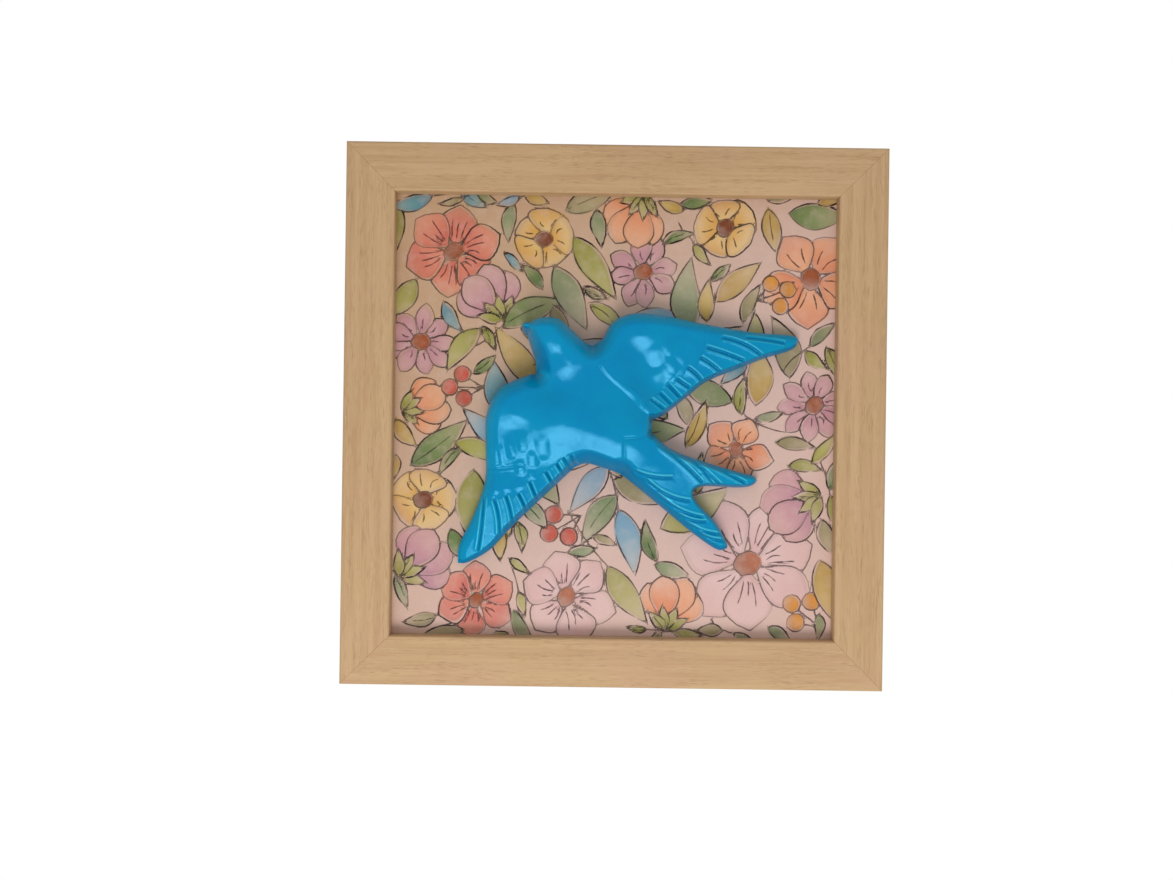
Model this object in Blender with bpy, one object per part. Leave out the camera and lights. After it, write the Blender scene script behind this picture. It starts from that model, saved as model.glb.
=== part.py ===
"""A framed azulejo: a painted tile in a mitred wooden frame, with a glazed swallow in high relief on it.

Metres, +Z up. The work faces -Y and hangs on a wall at +Y. The origin is the middle of the hanger's rear
face, where a nail in the wall carries it. Everything behind the tile is plain joinery: a board held in the
rebate by pins, and a sawtooth hanger on two nails.
"""

import math

import bmesh
import bpy
import numpy as np
from mathutils.geometry import delaunay_2d_cdt

# Tile
TILE_SIZE = 0.200
TILE_THICKNESS = 0.007
TILE_EDGE_ROUND = 0.0006

# Frame
RAIL_FACE_WIDTH = 0.0215
LIP_THICKNESS = 0.0075
TILE_COVER = 0.003
TILE_PLAY = 0.001
ARRIS_RADIUS = 0.001
BOARD_THICKNESS = 0.003
BOARD_PLAY = 0.0008
BACK_RECESS = 0.0035

# Swallow. Its drawing below is in hundredths of this span, from wing tip to wing tip
SWALLOW_SPAN = 0.178
SWALLOW_ACROSS = -0.0063
SWALLOW_UP = -0.0017

# Hanger and its nails
HANGER_LENGTH = 0.045
HANGER_HEIGHT = 0.009
HANGER_SHEET = 0.0008
HANGER_STAND_OFF = 0.0022
HANGER_TAB = 0.0075
TOOTH_PITCH = 0.0022
TOOTH_DEPTH = 0.0012
NAIL_SHANK_RADIUS = 0.0007
NAIL_LENGTH = 0.009
NAIL_HEAD_RADIUS = 0.0018
NAIL_HEAD_HEIGHT = 0.0006

# Pins that hold the board
PIN_RADIUS = 0.0006
PIN_LENGTH = 0.014
PIN_REACH = 0.007
PIN_SPREAD = 0.110

# Neighbours keep this much air, and a shank this much in its hole
FIT_GAP = 0.0003
HOLE_PLAY = 0.0003

# Worked out from the sizes above
SIGHT_HALF = TILE_SIZE / 2 - TILE_COVER
REBATE_HALF = TILE_SIZE / 2 + TILE_PLAY
OUTER_HALF = SIGHT_HALF + RAIL_FACE_WIDTH
HANGER_DEPTH = HANGER_STAND_OFF + FIT_GAP
BACK_Y = -HANGER_DEPTH
FRAME_DEPTH = LIP_THICKNESS + TILE_THICKNESS + BOARD_THICKNESS + 2 * FIT_GAP + BACK_RECESS
FRONT_Y = BACK_Y - FRAME_DEPTH
TILE_FRONT_Y = FRONT_Y + LIP_THICKNESS + FIT_GAP
TILE_BACK_Y = TILE_FRONT_Y + TILE_THICKNESS
BOARD_FRONT_Y = TILE_BACK_Y + FIT_GAP
BOARD_BACK_Y = BOARD_FRONT_Y + BOARD_THICKNESS
HANGER_UP = (REBATE_HALF + OUTER_HALF) / 2
CENTRE_Z = -HANGER_UP

SPAN_SHARE = SWALLOW_SPAN / 100

# The swallow's outline, clockwise from the beak, in hundredths of its span: across, up
OUTLINE_RUNS = {
    "beak": [(-18.2, 20.7), (-18.9, 21.1), (-19.4, 22.0), (-19.3, 22.9), (-18.8, 23.5), (-18.1, 23.7),
             (-17.4, 23.9)],
    "crown": [(-17.4, 23.9), (-15.2, 24.8), (-12.7, 25.1), (-10.2, 24.6), (-8.5, 23.3), (-6.4, 21.4),
              (-4.0, 19.2), (-2.1, 18.2)],
    "right_leading": [(-2.1, 18.2), (0.3, 20.0), (2.4, 23.7), (5.4, 25.7), (9.4, 26.4), (16.6, 25.7),
                      (24.8, 24.1), (36.9, 22.2), (47.3, 21.4), (48.8, 20.0)],
    "right_trailing": [(48.8, 20.0), (47.1, 18.0), (40.8, 15.9), (33.3, 12.9), (26.2, 9.8), (21.9, 6.4),
                       (16.5, 2.0), (12.9, 0.1)],
    "flank": [(12.9, 0.1), (12.8, -3.0)],
    "tail_upper": [(12.8, -3.0), (17.6, -6.9), (25.4, -9.8), (34.2, -12.3), (38.0, -13.3), (39.1, -14.4)],
    "fork": [(39.1, -14.4), (37.6, -15.7), (34.3, -16.2), (25.9, -16.0), (23.2, -17.4), (24.4, -20.1),
             (28.9, -24.9), (31.7, -29.9), (31.8, -31.3)],
    "tail_lower": [(31.8, -31.3), (29.2, -31.5), (23.4, -27.7), (16.8, -22.4), (10.1, -17.0), (5.2, -13.2)],
    "belly": [(5.2, -13.2), (1.3, -11.9), (-3.1, -10.8), (-6.0, -11.7)],
    "left_trailing": [(-6.0, -11.7), (-9.4, -15.0), (-14.7, -20.1), (-21.2, -26.5), (-26.6, -32.3),
                      (-32.0, -35.5), (-34.6, -35.8)],
    "left_leading": [(-34.6, -35.8), (-34.3, -31.4), (-30.7, -23.4), (-28.1, -15.2), (-28.1, -6.5),
                     (-27.9, 1.2), (-24.9, 7.3), (-18.4, 10.6), (-15.9, 11.2)],
    "cheek": [(-15.9, 11.2), (-16.1, 14.2), (-16.9, 16.6), (-17.8, 19.4), (-18.2, 20.7)],
}

# How far in from each run the surface rolls over, at its start and end, and how full the rolling is:
# 2 is a quarter circle, 1 a straight slope
ROLL = {
    "beak": (1.2, 1.2, 2.0), "crown": (3.0, 4.4, 1.9), "right_leading": (4.4, 2.2, 2.0),
    "right_trailing": (1.2, 1.6, 1.3), "flank": (1.8, 1.8, 1.5), "tail_upper": (1.6, 1.0, 1.6),
    "fork": (0.9, 0.9, 1.4), "tail_lower": (1.4, 3.0, 1.4), "belly": (3.0, 3.8, 1.55),
    "left_trailing": (1.7, 1.3, 1.25), "left_leading": (2.4, 4.6, 2.0), "cheek": (4.4, 3.6, 1.9),
}

# The lie of the casting: across, up, and the height of the skin above the side wall there
SIDE_WALL = 1.6
LIE_STIFFNESS = 2.2
LIE = {
    "head": (-11.0, 20.8, 12.8), "brow": (-10.5, 15.9, 11.7), "throat": (-9.2, 12.3, 9.6),
    "neck": (-7.5, 10.1, 8.75), "collar": (-5.6, 7.8, 8.4), "left_collar": (-13.4, 8.6, 7.35),
    "saddle": (-3.2, 13.8, 9.2), "mantle": (-2.5, 4.0, 8.4), "back": (2.5, 0.0, 8.6),
    "left_back": (-10.0, 2.4, 8.7), "scapular": (3.4, 14.4, 8.3), "rump": (10.4, -1.6, 7.9),
    "band_top": (-8.8, -1.4, 8.45), "band_foot": (-8.2, -7.2, 6.6), "belly_top": (-2.4, -2.8, 8.6),
    "belly_foot": (-2.6, -6.2, 7.6), "loin_top": (1.0, -5.0, 8.4), "loin_foot": (1.0, -7.6, 7.5),
    "loin": (6.0, -7.0, 8.2), "loin_end": (5.6, -10.0, 7.2),
    "left_crown": (-20.4, 3.6, 8.6), "left_shoulder": (-20.6, 0.4, 8.15), "shoulder_foot": (-20.4, -2.6, 7.1),
    "left_coverts": (-20.2, -4.6, 6.9), "left_hollow": (-14.6, -3.6, 7.8), "covert_foot": (-19.6, -10.0, 5.9),
    "left_wrist": (-23.0, -12.5, 5.0), "left_wing": (-24.4, -17.6, 4.8), "left_hand": (-27.6, -27.0, 3.2),
    "left_tip": (-33.5, -34.5, 1.6), "left_tertials": (-12.8, -11.6, 5.2),
    "left_primaries": (-19.6, -19.0, 4.3), "right_shoulder": (9.6, 20.5, 8.35),
    "shoulder_crown": (9.6, 23.6, 8.5), "shoulder_slope": (9.8, 17.2, 7.15),
    "shoulder_inner": (6.2, 17.8, 7.7), "shoulder_top": (5.6, 21.2, 8.3), "right_coverts": (13.6, 16.8, 7.3),
    "coverts_foot": (13.4, 13.0, 6.0), "tertial_top": (14.8, 12.0, 5.95), "tertial_foot": (14.6, 8.0, 4.6),
    "right_tertials": (14.4, 5.0, 5.0), "right_wrist": (20.0, 20.8, 7.1), "right_middle": (19.5, 13.4, 6.1),
    "right_wing": (27.0, 17.2, 5.7), "right_hand": (37.0, 18.6, 4.5), "right_tip": (47.0, 20.2, 2.6),
    "tail_root": (10.0, -8.0, 7.6), "tail_crest": (12.0, -12.0, 6.9), "tail_middle": (18.0, -11.6, 6.3),
    "tail_top_middle": (25.0, -12.4, 5.1), "tail_top_tip": (37.5, -14.3, 2.6),
    "tail_low_middle": (17.0, -17.6, 5.4), "tail_low_tip": (30.6, -30.0, 2.2),
}

# The right wing's inner edge stands over the back along this line, and the rump over the tail along the other
BACK_CREASE = [(-0.6, 14.0), (0.6, 11.9), (2.9, 9.5), (6.1, 7.2), (8.2, 5.6), (9.8, 3.6), (11.4, 2.1),
               (13.0, 1.3)]
RUMP_EDGE = [(13.4, -2.2), (10.8, -3.7), (9.0, -4.3), (5.9, -4.6), (5.9, -10.6), (5.2, -13.0)]
WING_STEP_SLOPE = 0.40
WING_STEP_GAIN = 0.35
WING_STEP_BREADTH = 0.9
WING_STEP_SWELL = 1.1
WING_STEP_REACH = 4.0
RUMP_STEP = 0.34
RUMP_STEP_BREADTH = 0.7
RUMP_STEP_REACH = 5.0
LEAST_SKIN = 0.6

# Feather grooves: where each starts and ends, and how far it bows to the left of its way
RIGHT_GROOVES = [
    (12.0, 5.4, 15.7, 2.6, 0.0), (14.2, 7.0, 17.3, 3.9, 0.0), (16.1, 9.0, 19.7, 5.3, 0.0),
    (18.2, 10.3, 21.7, 8.0, 0.0), (20.7, 13.1, 24.6, 9.7, 0.3), (23.6, 15.6, 29.2, 11.9, 0.3),
    (25.0, 18.0, 35.2, 14.7, 0.2), (28.5, 20.4, 39.5, 16.0, 0.9), (34.4, 20.5, 45.4, 19.3, 0.2),
]
LEFT_GROOVES = [
    (-28.0, -18.4, -29.5, -33.0, 0.3), (-25.7, -19.2, -24.2, -28.6, 0.5), (-22.9, -18.4, -21.0, -26.0, 0.3),
    (-19.9, -18.0, -17.6, -23.0, 0.2), (-17.1, -15.0, -14.9, -20.2, 0.0), (-13.2, -12.6, -11.0, -16.4, 0.0),
    (-10.6, -10.6, -8.4, -14.0, 0.0), (-9.0, -9.2, -6.9, -12.6, 0.0), (-7.1, -8.6, -5.6, -11.4, 0.0),
]
TAIL_TOP_GROOVES = [
    (13.2, -5.4, 25.4, -15.4, 0.6), (19.0, -7.7, 29.8, -15.8, 0.5), (24.0, -9.4, 36.3, -15.3, 0.2),
    (25.2, -12.2, 28.2, -15.4, 0.0),
]
TAIL_LOW_GROOVES = [
    (8.2, -12.4, 18.2, -13.9, -0.6), (11.0, -14.2, 22.7, -19.6, -1.2), (13.2, -17.2, 26.0, -23.6, -1.2),
    (19.0, -22.8, 26.6, -24.6, -0.6), (20.0, -23.8, 30.4, -27.7, -1.0), (23.6, -26.6, 31.2, -29.2, -0.8),
]

GROOVE_DEPTH = 0.50
GROOVE_WIDTH = 0.34
GROOVE_LIP = 0.15
LIP_PLACE = 0.80
LIP_BREADTH = 0.42

# Covert feathers, root to tip, their breadth and how far they swell
COVERTS = [
    (-19.4, -2.6, -18.4, -8.6, 3.5, 0.27), (-22.3, -4.0, -20.8, -10.3, 3.1, 0.27),
    (-14.3, -3.2, -13.4, -10.4, 4.3, 0.27), (-16.5, -7.4, -15.9, -12.4, 3.5, 0.26),
    (-19.6, -9.6, -18.9, -14.3, 3.3, 0.25), (-24.3, -5.6, -23.4, -11.8, 1.9, 0.2),
    (-26.0, -5.4, -25.4, -11.7, 1.8, 0.2), (-27.4, -5.2, -27.1, -11.4, 1.6, 0.16),
    (-27.0, -12.6, -27.3, -18.2, 2.1, 0.24), (-24.9, -12.7, -25.2, -18.6, 2.3, 0.24),
    (-22.5, -12.7, -22.3, -18.2, 2.6, 0.24), (-19.8, -13.8, -19.4, -17.8, 2.6, 0.22),
    (-16.6, -12.2, -16.2, -15.2, 2.6, 0.2), (11.6, 18.4, 13.8, 12.6, 4.3, 0.15),
    (13.0, 13.0, 14.6, 7.5, 4.1, 0.15), (14.4, 20.4, 17.4, 15.4, 2.8, 0.12),
    (15.6, 15.8, 18.4, 11.4, 2.8, 0.12), (16.0, 11.6, 18.6, 9.0, 2.4, 0.10),
    (17.6, 17.4, 21.3, 13.2, 2.6, 0.10), (18.8, 20.6, 23.6, 17.4, 2.8, 0.10),
    (18.0, 23.6, 23.9, 20.6, 3.0, 0.08),
]

# How finely the casting's faces are cut, in the same shares: along the outline, over the skin, in from the
# edge, along and beside a groove, and how near two places may lie
OUTLINE_STEP = 1.2
SKIN_STEP = 1.02
EDGE_ROW = 0.38
GROOVE_STEP = 0.85
GROOVE_SIDE = 0.55
STEP_TOP = 0.45
NEAREST_EDGE = 0.5
NEAREST_CARVED = 0.45
NEAREST_LATTICE = 0.62


def principled(name, color, roughness, metallic=0.0, coat=0.0):
    """A plain Principled material."""
    material = bpy.data.materials.new(name)
    material.use_nodes = True
    shader = material.node_tree.nodes["Principled BSDF"]
    shader.inputs["Base Color"].default_value = (*color, 1.0)
    shader.inputs["Roughness"].default_value = roughness
    shader.inputs["Metallic"].default_value = metallic
    shader.inputs["Coat Weight"].default_value = coat
    material.diffuse_color = (*color, 1.0)
    return material


def add_object(name, points, faces, material):
    """One named object from points and faces, in world places."""
    mesh = bpy.data.meshes.new(name)
    mesh.from_pydata([tuple(map(float, p)) for p in points], [], [tuple(map(int, f)) for f in faces])
    mesh.materials.append(material)
    mesh.update()
    made = bpy.data.objects.new(name, mesh)
    bpy.context.scene.collection.objects.link(made)
    return made


def prism(sections):
    """Faces of a closed bar whose end polygons are the first and last of these equal sections."""
    around = len(sections[0])
    points = [p for section in sections for p in section]
    faces = [tuple(range(around))[::-1]]
    for k in range(len(sections) - 1):
        low, high = k * around, (k + 1) * around
        faces += [(low + i, low + (i + 1) % around, high + (i + 1) % around, high + i) for i in range(around)]
    faces.append(tuple(range(len(points) - around, len(points))))
    return points, faces


def outward(made):
    """Turns a closed mesh's faces outward."""
    work = bmesh.new()
    work.from_mesh(made.data)
    bmesh.ops.recalc_face_normals(work, faces=work.faces)
    work.to_mesh(made.data)
    work.free()
    return made


def arc(centre, radius, start, stop, steps):
    """Points on an arc, angles in degrees."""
    angles = [math.radians(start + (stop - start) * k / steps) for k in range(steps + 1)]
    return [(centre[0] + radius * math.cos(a), centre[1] + radius * math.sin(a)) for a in angles]


def turned(profile, sides):
    """Sections of a solid of revolution along its own axis, from (radius, along) pairs, closed by its ends."""
    rings = []
    for radius, along in profile:
        angles = [2 * math.pi * k / sides for k in range(sides)]
        rings.append([(radius * math.cos(a), radius * math.sin(a), along) for a in angles])
    return rings


def cutter(name, points, faces, target):
    """A hidden solid that a Boolean takes out of the target."""
    made = outward(add_object(name, points, faces, target.data.materials[0]))
    made.hide_render = True
    made.display_type = "WIRE"
    cut = target.modifiers.new(name, "BOOLEAN")
    cut.operation = "DIFFERENCE"
    cut.solver = "EXACT"
    cut.object = made
    return made


def rail_profile():
    """The moulding's section: distance from the sight edge outward, and depth behind the front."""
    rebate = REBATE_HALF - SIGHT_HALF
    r = ARRIS_RADIUS
    section = [(rebate, FRAME_DEPTH), (rebate, LIP_THICKNESS), (0.0, LIP_THICKNESS)]
    section += arc((r, r), r, 180, 270, 3)
    section += arc((RAIL_FACE_WIDTH - r, r), r, 270, 360, 3)
    section.append((RAIL_FACE_WIDTH, FRAME_DEPTH))
    return section


def frame_rail(name, quarter, material):
    """One rail: the section carried straight along, its ends mitred at 45 degrees, turned into its place."""
    joint = FIT_GAP / math.sqrt(2)
    turn = math.radians(90 * quarter)
    sections = []
    for end in (-1, 1):
        section = []
        for out, depth in rail_profile():
            along = end * (SIGHT_HALF + out - joint)
            up = SIGHT_HALF + out
            x = along * math.cos(turn) + up * math.sin(turn)
            z = up * math.cos(turn) - along * math.sin(turn)
            section.append((x, FRONT_Y + depth, CENTRE_Z + z))
        sections.append(section)
    return outward(add_object(name, *prism(sections), material))


def plate(name, half, front, back, edge_round, material):
    """A square plate centred behind the sight, its front edge eased if a rounding is given."""
    rings = [(half, back)]
    if edge_round > 0:
        eased = arc((half - edge_round, front + edge_round), edge_round, 0, -90, 3)
        rings += eased
    else:
        rings.append((half, front))
    corners = ((1, 1), (-1, 1), (-1, -1), (1, -1))
    sections = [[(a * reach, y, CENTRE_Z + b * reach) for a, b in corners] for reach, y in rings]
    return outward(add_object(name, *prism(sections), material))


def smooth_run(knots, step):
    """Points along a Catmull-Rom curve through the knots, without its last one."""
    knots = np.asarray(knots, float)
    padded = np.vstack([2 * knots[0] - knots[1], knots, 2 * knots[-1] - knots[-2]])
    points = []
    for k in range(1, len(padded) - 2):
        p0, p1, p2, p3 = padded[k - 1:k + 3]
        count = max(1, round(float(np.linalg.norm(p2 - p1)) / step))
        for t in np.arange(count) / count:
            points.append(0.5 * (2 * p1 + (p2 - p0) * t + (2 * p0 - 5 * p1 + 4 * p2 - p3) * t ** 2
                                 + (3 * p1 - p0 - 3 * p2 + p3) * t ** 3))
    return np.array(points)


def bowed(x0, y0, x1, y1, bow, count):
    """Points from one place to another on an arc that bows to the left of its way."""
    t = np.linspace(0, 1, count)[:, None]
    start, end = np.array([x0, y0]), np.array([x1, y1])
    way = (end - start) / np.linalg.norm(end - start)
    left = np.array([-way[1], way[0]])
    return start + (end - start) * t + left * bow * 4 * t * (1 - t)


def nearest(points, line):
    """Each point's distance from a polyline, the share of its length there, and which side: 1 is left."""
    line = np.asarray(line, float)
    lengths = np.linalg.norm(np.diff(line, axis=0), axis=1)
    begun = np.concatenate([[0], np.cumsum(lengths)])
    best = np.full(len(points), np.inf)
    share = np.zeros(len(points))
    side = np.ones(len(points))
    for k, (a, b) in enumerate(zip(line[:-1], line[1:])):
        way = (b - a) / lengths[k]
        offset = points - a
        along = np.clip(offset @ way, 0, lengths[k])
        gap = np.linalg.norm(offset - along[:, None] * way, axis=1)
        closer = gap < best
        best = np.where(closer, gap, best)
        share = np.where(closer, (begun[k] + along) / begun[-1], share)
        side = np.where(closer, np.sign(way[0] * offset[:, 1] - way[1] * offset[:, 0]), side)
    return best, share, side


def ramp(value, start, stop):
    """0 before start, 1 after stop, and a smooth rise between."""
    t = np.clip((value - start) / (stop - start), 0, 1)
    return t * t * (3 - 2 * t)


def lie_of(points):
    """The casting's smooth skin through the named heights: a sum of hyperbolas about their places."""
    keys = np.array(list(LIE.values()))

    def spread(where):
        gaps = np.linalg.norm(where[:, None] - keys[None, :, :2], axis=2)
        return np.sqrt(gaps ** 2 + LIE_STIFFNESS ** 2)

    mean = keys[:, 2].mean()
    weights = np.linalg.solve(spread(keys[:, :2]), keys[:, 2] - mean)
    return mean + spread(points) @ weights


def rolled_edges(points):
    """1 inside, falling to 0 at the outline: (1 - (1 - t)^n)^(1/n), t the distance in the run's own breadths."""
    kept = np.ones(len(points))
    for name, knots in OUTLINE_RUNS.items():
        begin, end, full = ROLL[name]
        line = np.vstack([smooth_run(knots, OUTLINE_STEP), knots[-1]])
        gap, share, _ = nearest(points, line)
        t = np.clip(gap / (begin + (end - begin) * share), 0, 1)
        kept *= (1 - (1 - t) ** full) ** (1 / full)
    return kept


def steps_of(points):
    """The wing's step up from the back, an even slope as broad as it is high, and the rump's step down."""
    gap, share, side = nearest(points, smooth_run(BACK_CREASE, 1.0))
    past = side * gap
    broad = WING_STEP_BREADTH + WING_STEP_SWELL * np.exp(-((share - 0.66) / 0.2) ** 2)
    slope = WING_STEP_SLOPE + WING_STEP_GAIN * ramp(share, 0.35, 0.8)
    wing = slope * broad * np.clip(past / broad + 0.5, 0, 1) * np.exp(-np.maximum(past, 0) / WING_STEP_REACH)
    total = wing * ramp(share, 0, 0.06) * ramp(1 - share, 0, 0.1)
    gap, share, side = nearest(points, np.array(RUMP_EDGE))
    past = side * gap
    fall = RUMP_STEP * np.clip(past / RUMP_STEP_BREADTH + 1, 0, 1)
    fade = np.exp(-np.maximum(past, 0) / RUMP_STEP_REACH) * ramp(share, 0, 0.1) * ramp(1 - share, 0, 0.15)
    return total - fall * fade


def grooves_of(points):
    """Each feather's groove, a round-bottomed cut between two low lips."""
    total = np.zeros(len(points))
    for groove in RIGHT_GROOVES + LEFT_GROOVES + TAIL_TOP_GROOVES + TAIL_LOW_GROOVES:
        gap, share, _ = nearest(points, bowed(*groove, 9))
        fade = ramp(share, 0, 0.12) * ramp(1 - share, 0, 0.06)
        total -= GROOVE_DEPTH * fade * np.exp(-(gap / GROOVE_WIDTH) ** 2)
        total += GROOVE_LIP * fade * np.exp(-((gap - LIP_PLACE) / LIP_BREADTH) ** 2)
    return total


def coverts_of(points):
    """Covert feathers, each a low dome about its shaft that rises to its tip."""
    total = np.zeros(len(points))
    for x0, y0, x1, y1, breadth, rise in COVERTS:
        root, tip = np.array([x0, y0]), np.array([x1, y1])
        end = tip - (tip - root) * breadth / 2 / np.linalg.norm(tip - root)
        gap, share, _ = nearest(points, np.array([root, end]))
        dome = rise * np.clip(1 - (gap / (breadth / 2)) ** 2, 0, 1) ** 1.8 * ramp(share, 0, 0.6)
        total = np.maximum(total, dome)
    return total


def skin_height(points):
    """The casting's height above the tile at each place, in shares of the span."""
    carved = lie_of(points) + steps_of(points) + grooves_of(points) + coverts_of(points)
    return SIDE_WALL + np.maximum(carved, LEAST_SKIN) * rolled_edges(points)


def outline_loop(step):
    """The whole outline as one closed loop, anticlockwise."""
    return np.vstack([smooth_run(knots, step) for knots in OUTLINE_RUNS.values()])[::-1]


def inside_outline(points, loop):
    """Which points lie inside the loop, by counting the crossings of a ray to the right."""
    ahead = np.roll(loop, -1, axis=0)
    found = np.zeros(len(points), bool)
    for (x0, y0), (x1, y1) in zip(loop, ahead):
        if y0 != y1:
            between = (points[:, 1] > min(y0, y1)) & (points[:, 1] <= max(y0, y1))
            at = x0 + (points[:, 1] - y0) * (x1 - x0) / (y1 - y0)
            found ^= between & (at > points[:, 0])
    return found


def thinned(points, spacing):
    """The points, less each that lies nearer than the spacing to one already kept."""
    kept = []
    for point in points:
        if not kept or np.min(np.linalg.norm(np.array(kept) - point, axis=1)) > spacing:
            kept.append(point)
    return np.array(kept)


def skin_points(loop):
    """Places inside the outline that carry the form: a row by the edge, the grooves, and an even lattice."""
    ahead, behind = np.roll(loop, -1, axis=0), np.roll(loop, 1, axis=0)
    way = ahead - behind
    left = np.stack([-way[:, 1], way[:, 0]], axis=1) / np.linalg.norm(way, axis=1)[:, None]
    edge_row = loop + left * EDGE_ROW
    crease = smooth_run(BACK_CREASE, SKIN_STEP)
    carved = [crease - STEP_TOP, crease + STEP_TOP]
    for edge in zip(RUMP_EDGE[:-1], RUMP_EDGE[1:]):
        carved.append(bowed(*edge[0], *edge[1], 0.0, 5) + (STEP_TOP, 0.0))
    for groove in RIGHT_GROOVES + LEFT_GROOVES + TAIL_TOP_GROOVES + TAIL_LOW_GROOVES:
        count = max(4, round(math.dist(groove[:2], groove[2:4]) / GROOVE_STEP))
        line = bowed(*groove, count)
        aside = np.array([groove[1] - groove[3], groove[2] - groove[0]])
        aside = aside / np.hypot(*aside) * GROOVE_SIDE
        carved += [line, line + aside, line - aside]
    columns = np.arange(-36, 50, SKIN_STEP)
    rows = np.arange(-37, 28, SKIN_STEP * math.sqrt(3) / 2)
    x, y = np.meshgrid(columns, rows)
    x[1::2] += SKIN_STEP / 2
    lattice = np.stack([x.ravel(), y.ravel()], axis=1)
    carved = np.vstack(carved)
    line = np.vstack([loop, loop[:1]])
    edge_row = edge_row[nearest(edge_row, line)[0] > 0.9 * EDGE_ROW]
    carved = carved[nearest(carved, line)[0] > 1.6 * EDGE_ROW]
    lattice = lattice[nearest(lattice, line)[0] > 2.2 * EDGE_ROW]
    every = np.vstack([thinned(edge_row, NEAREST_EDGE), thinned(carved, NEAREST_CARVED)])
    gaps = np.array([np.min(np.linalg.norm(every - p, axis=1)) for p in lattice])
    every = np.vstack([every, lattice[gaps > NEAREST_LATTICE]])
    return every[inside_outline(every, loop)]


def triangles_in(loop, inner):
    """A Delaunay mesh of the loop and the points in it: its points, its faces and how many are the loop's."""
    count = len(loop)
    places = [tuple(p) for p in np.vstack([loop, inner])] if len(inner) else [tuple(p) for p in loop]
    edges = [(k, (k + 1) % count) for k in range(count)]
    points, _, faces, _, _, _ = delaunay_2d_cdt(places, edges, [], 1, 1e-6)
    return np.array([tuple(p) for p in points]), [tuple(f) for f in faces]


def swallow(material):
    """The casting: its skin over a triangulated drawing, an upright side wall and a flat back."""
    loop = outline_loop(OUTLINE_STEP)
    points, faces = triangles_in(loop, skin_points(loop))
    count = len(loop)
    height = skin_height(points)
    height[:count] = SIDE_WALL
    back_y = TILE_FRONT_Y - FIT_GAP
    x = SWALLOW_ACROSS + SPAN_SHARE * points[:, 0]
    z = CENTRE_Z + SWALLOW_UP + SPAN_SHARE * points[:, 1]
    top = np.stack([x, back_y - SPAN_SHARE * height, z], axis=1)
    back = top[:count].copy()
    back[:, 1] = back_y
    _, back_faces = triangles_in(loop, [])
    total = len(top)
    walls = []
    for k in range(count):
        ahead = (k + 1) % count
        walls += [(k, total + k, total + ahead), (k, total + ahead, ahead)]
    closing = [tuple(total + k for k in face)[::-1] for face in back_faces]
    made = outward(add_object("swallow", np.vstack([top, back]), faces + walls + closing, material))
    made.data.shade_smooth()
    made.data.set_sharp_from_angle(angle=math.radians(50))
    return made


def hanger(material):
    """A stamped strip: two flat tabs on the wood and a raised middle with teeth along its lower edge."""
    sheet, rise, half = HANGER_SHEET, HANGER_STAND_OFF, HANGER_LENGTH / 2
    tab_end = half - HANGER_TAB
    knee = tab_end - rise
    wood = BACK_Y + FIT_GAP
    outer = [(-half, wood + sheet), (-tab_end, wood + sheet), (-knee, 0.0), (knee, 0.0),
             (tab_end, wood + sheet), (half, wood + sheet)]
    inner = [(half, wood), (tab_end + sheet / 2, wood), (knee + sheet / 2, -sheet), (-knee - sheet / 2, -sheet),
             (-tab_end - sheet / 2, wood), (-half, wood)]
    low, high = -HANGER_HEIGHT / 2, HANGER_HEIGHT / 2
    sections = [[(x, y, z) for x, y in outer + inner] for z in (low, high)]
    made = outward(add_object("hanger", *prism(sections), material))
    teeth = int((knee * 2 - TOOTH_PITCH) / TOOTH_PITCH)
    start = -teeth * TOOTH_PITCH / 2
    edge = []
    for k in range(teeth):
        edge += [(start + k * TOOTH_PITCH, low - sheet), (start + (k + 0.5) * TOOTH_PITCH, low + TOOTH_DEPTH)]
    edge += [(start + teeth * TOOTH_PITCH, low - sheet), (start + teeth * TOOTH_PITCH, low - 2 * sheet),
             (start, low - 2 * sheet)]
    cutter("tooth_cutter", *prism([[(x, y, z) for x, z in edge] for y in (-2 * sheet, sheet)]), made)
    for side in (-1, 1):
        nail_hole(f"tab_hole_cutter_{'left' if side < 0 else 'right'}", side, made)
    return made


def nail_across(side):
    """How far from the middle a hanger nail sits."""
    return side * (HANGER_LENGTH / 2 - HANGER_TAB * 0.45)


def placed(sections, place):
    """Turned sections, whose axis ran along Z, set along Y from the place, heads towards the wall."""
    return [[(place[0] + x, place[1] + z, place[2] + y) for x, y, z in ring] for ring in sections]


def nail_hole(name, side, target):
    """Takes a nail's hole out of the tab or the rail."""
    radius = NAIL_SHANK_RADIUS + HOLE_PLAY
    bore = turned([(radius, -NAIL_LENGTH - HOLE_PLAY), (radius, 2 * HANGER_SHEET + FIT_GAP)], 10)
    cutter(name, *prism(placed(bore, (nail_across(side), BACK_Y, 0.0))), target)


def hanger_nail(name, side, material):
    """A round-headed nail through a tab into the top rail."""
    under_head = FIT_GAP + HANGER_SHEET + FIT_GAP
    profile = [(NAIL_SHANK_RADIUS * 0.25, -NAIL_LENGTH),
               (NAIL_SHANK_RADIUS, -NAIL_LENGTH + 2 * NAIL_SHANK_RADIUS),
               (NAIL_SHANK_RADIUS, under_head), (NAIL_HEAD_RADIUS, under_head),
               (NAIL_HEAD_RADIUS * 0.9, under_head + NAIL_HEAD_HEIGHT * 0.6),
               (NAIL_HEAD_RADIUS * 0.5, under_head + NAIL_HEAD_HEIGHT)]
    place = (nail_across(side), BACK_Y, 0.0)
    return outward(add_object(name, *prism(placed(turned(profile, 10), place)), material))


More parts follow.
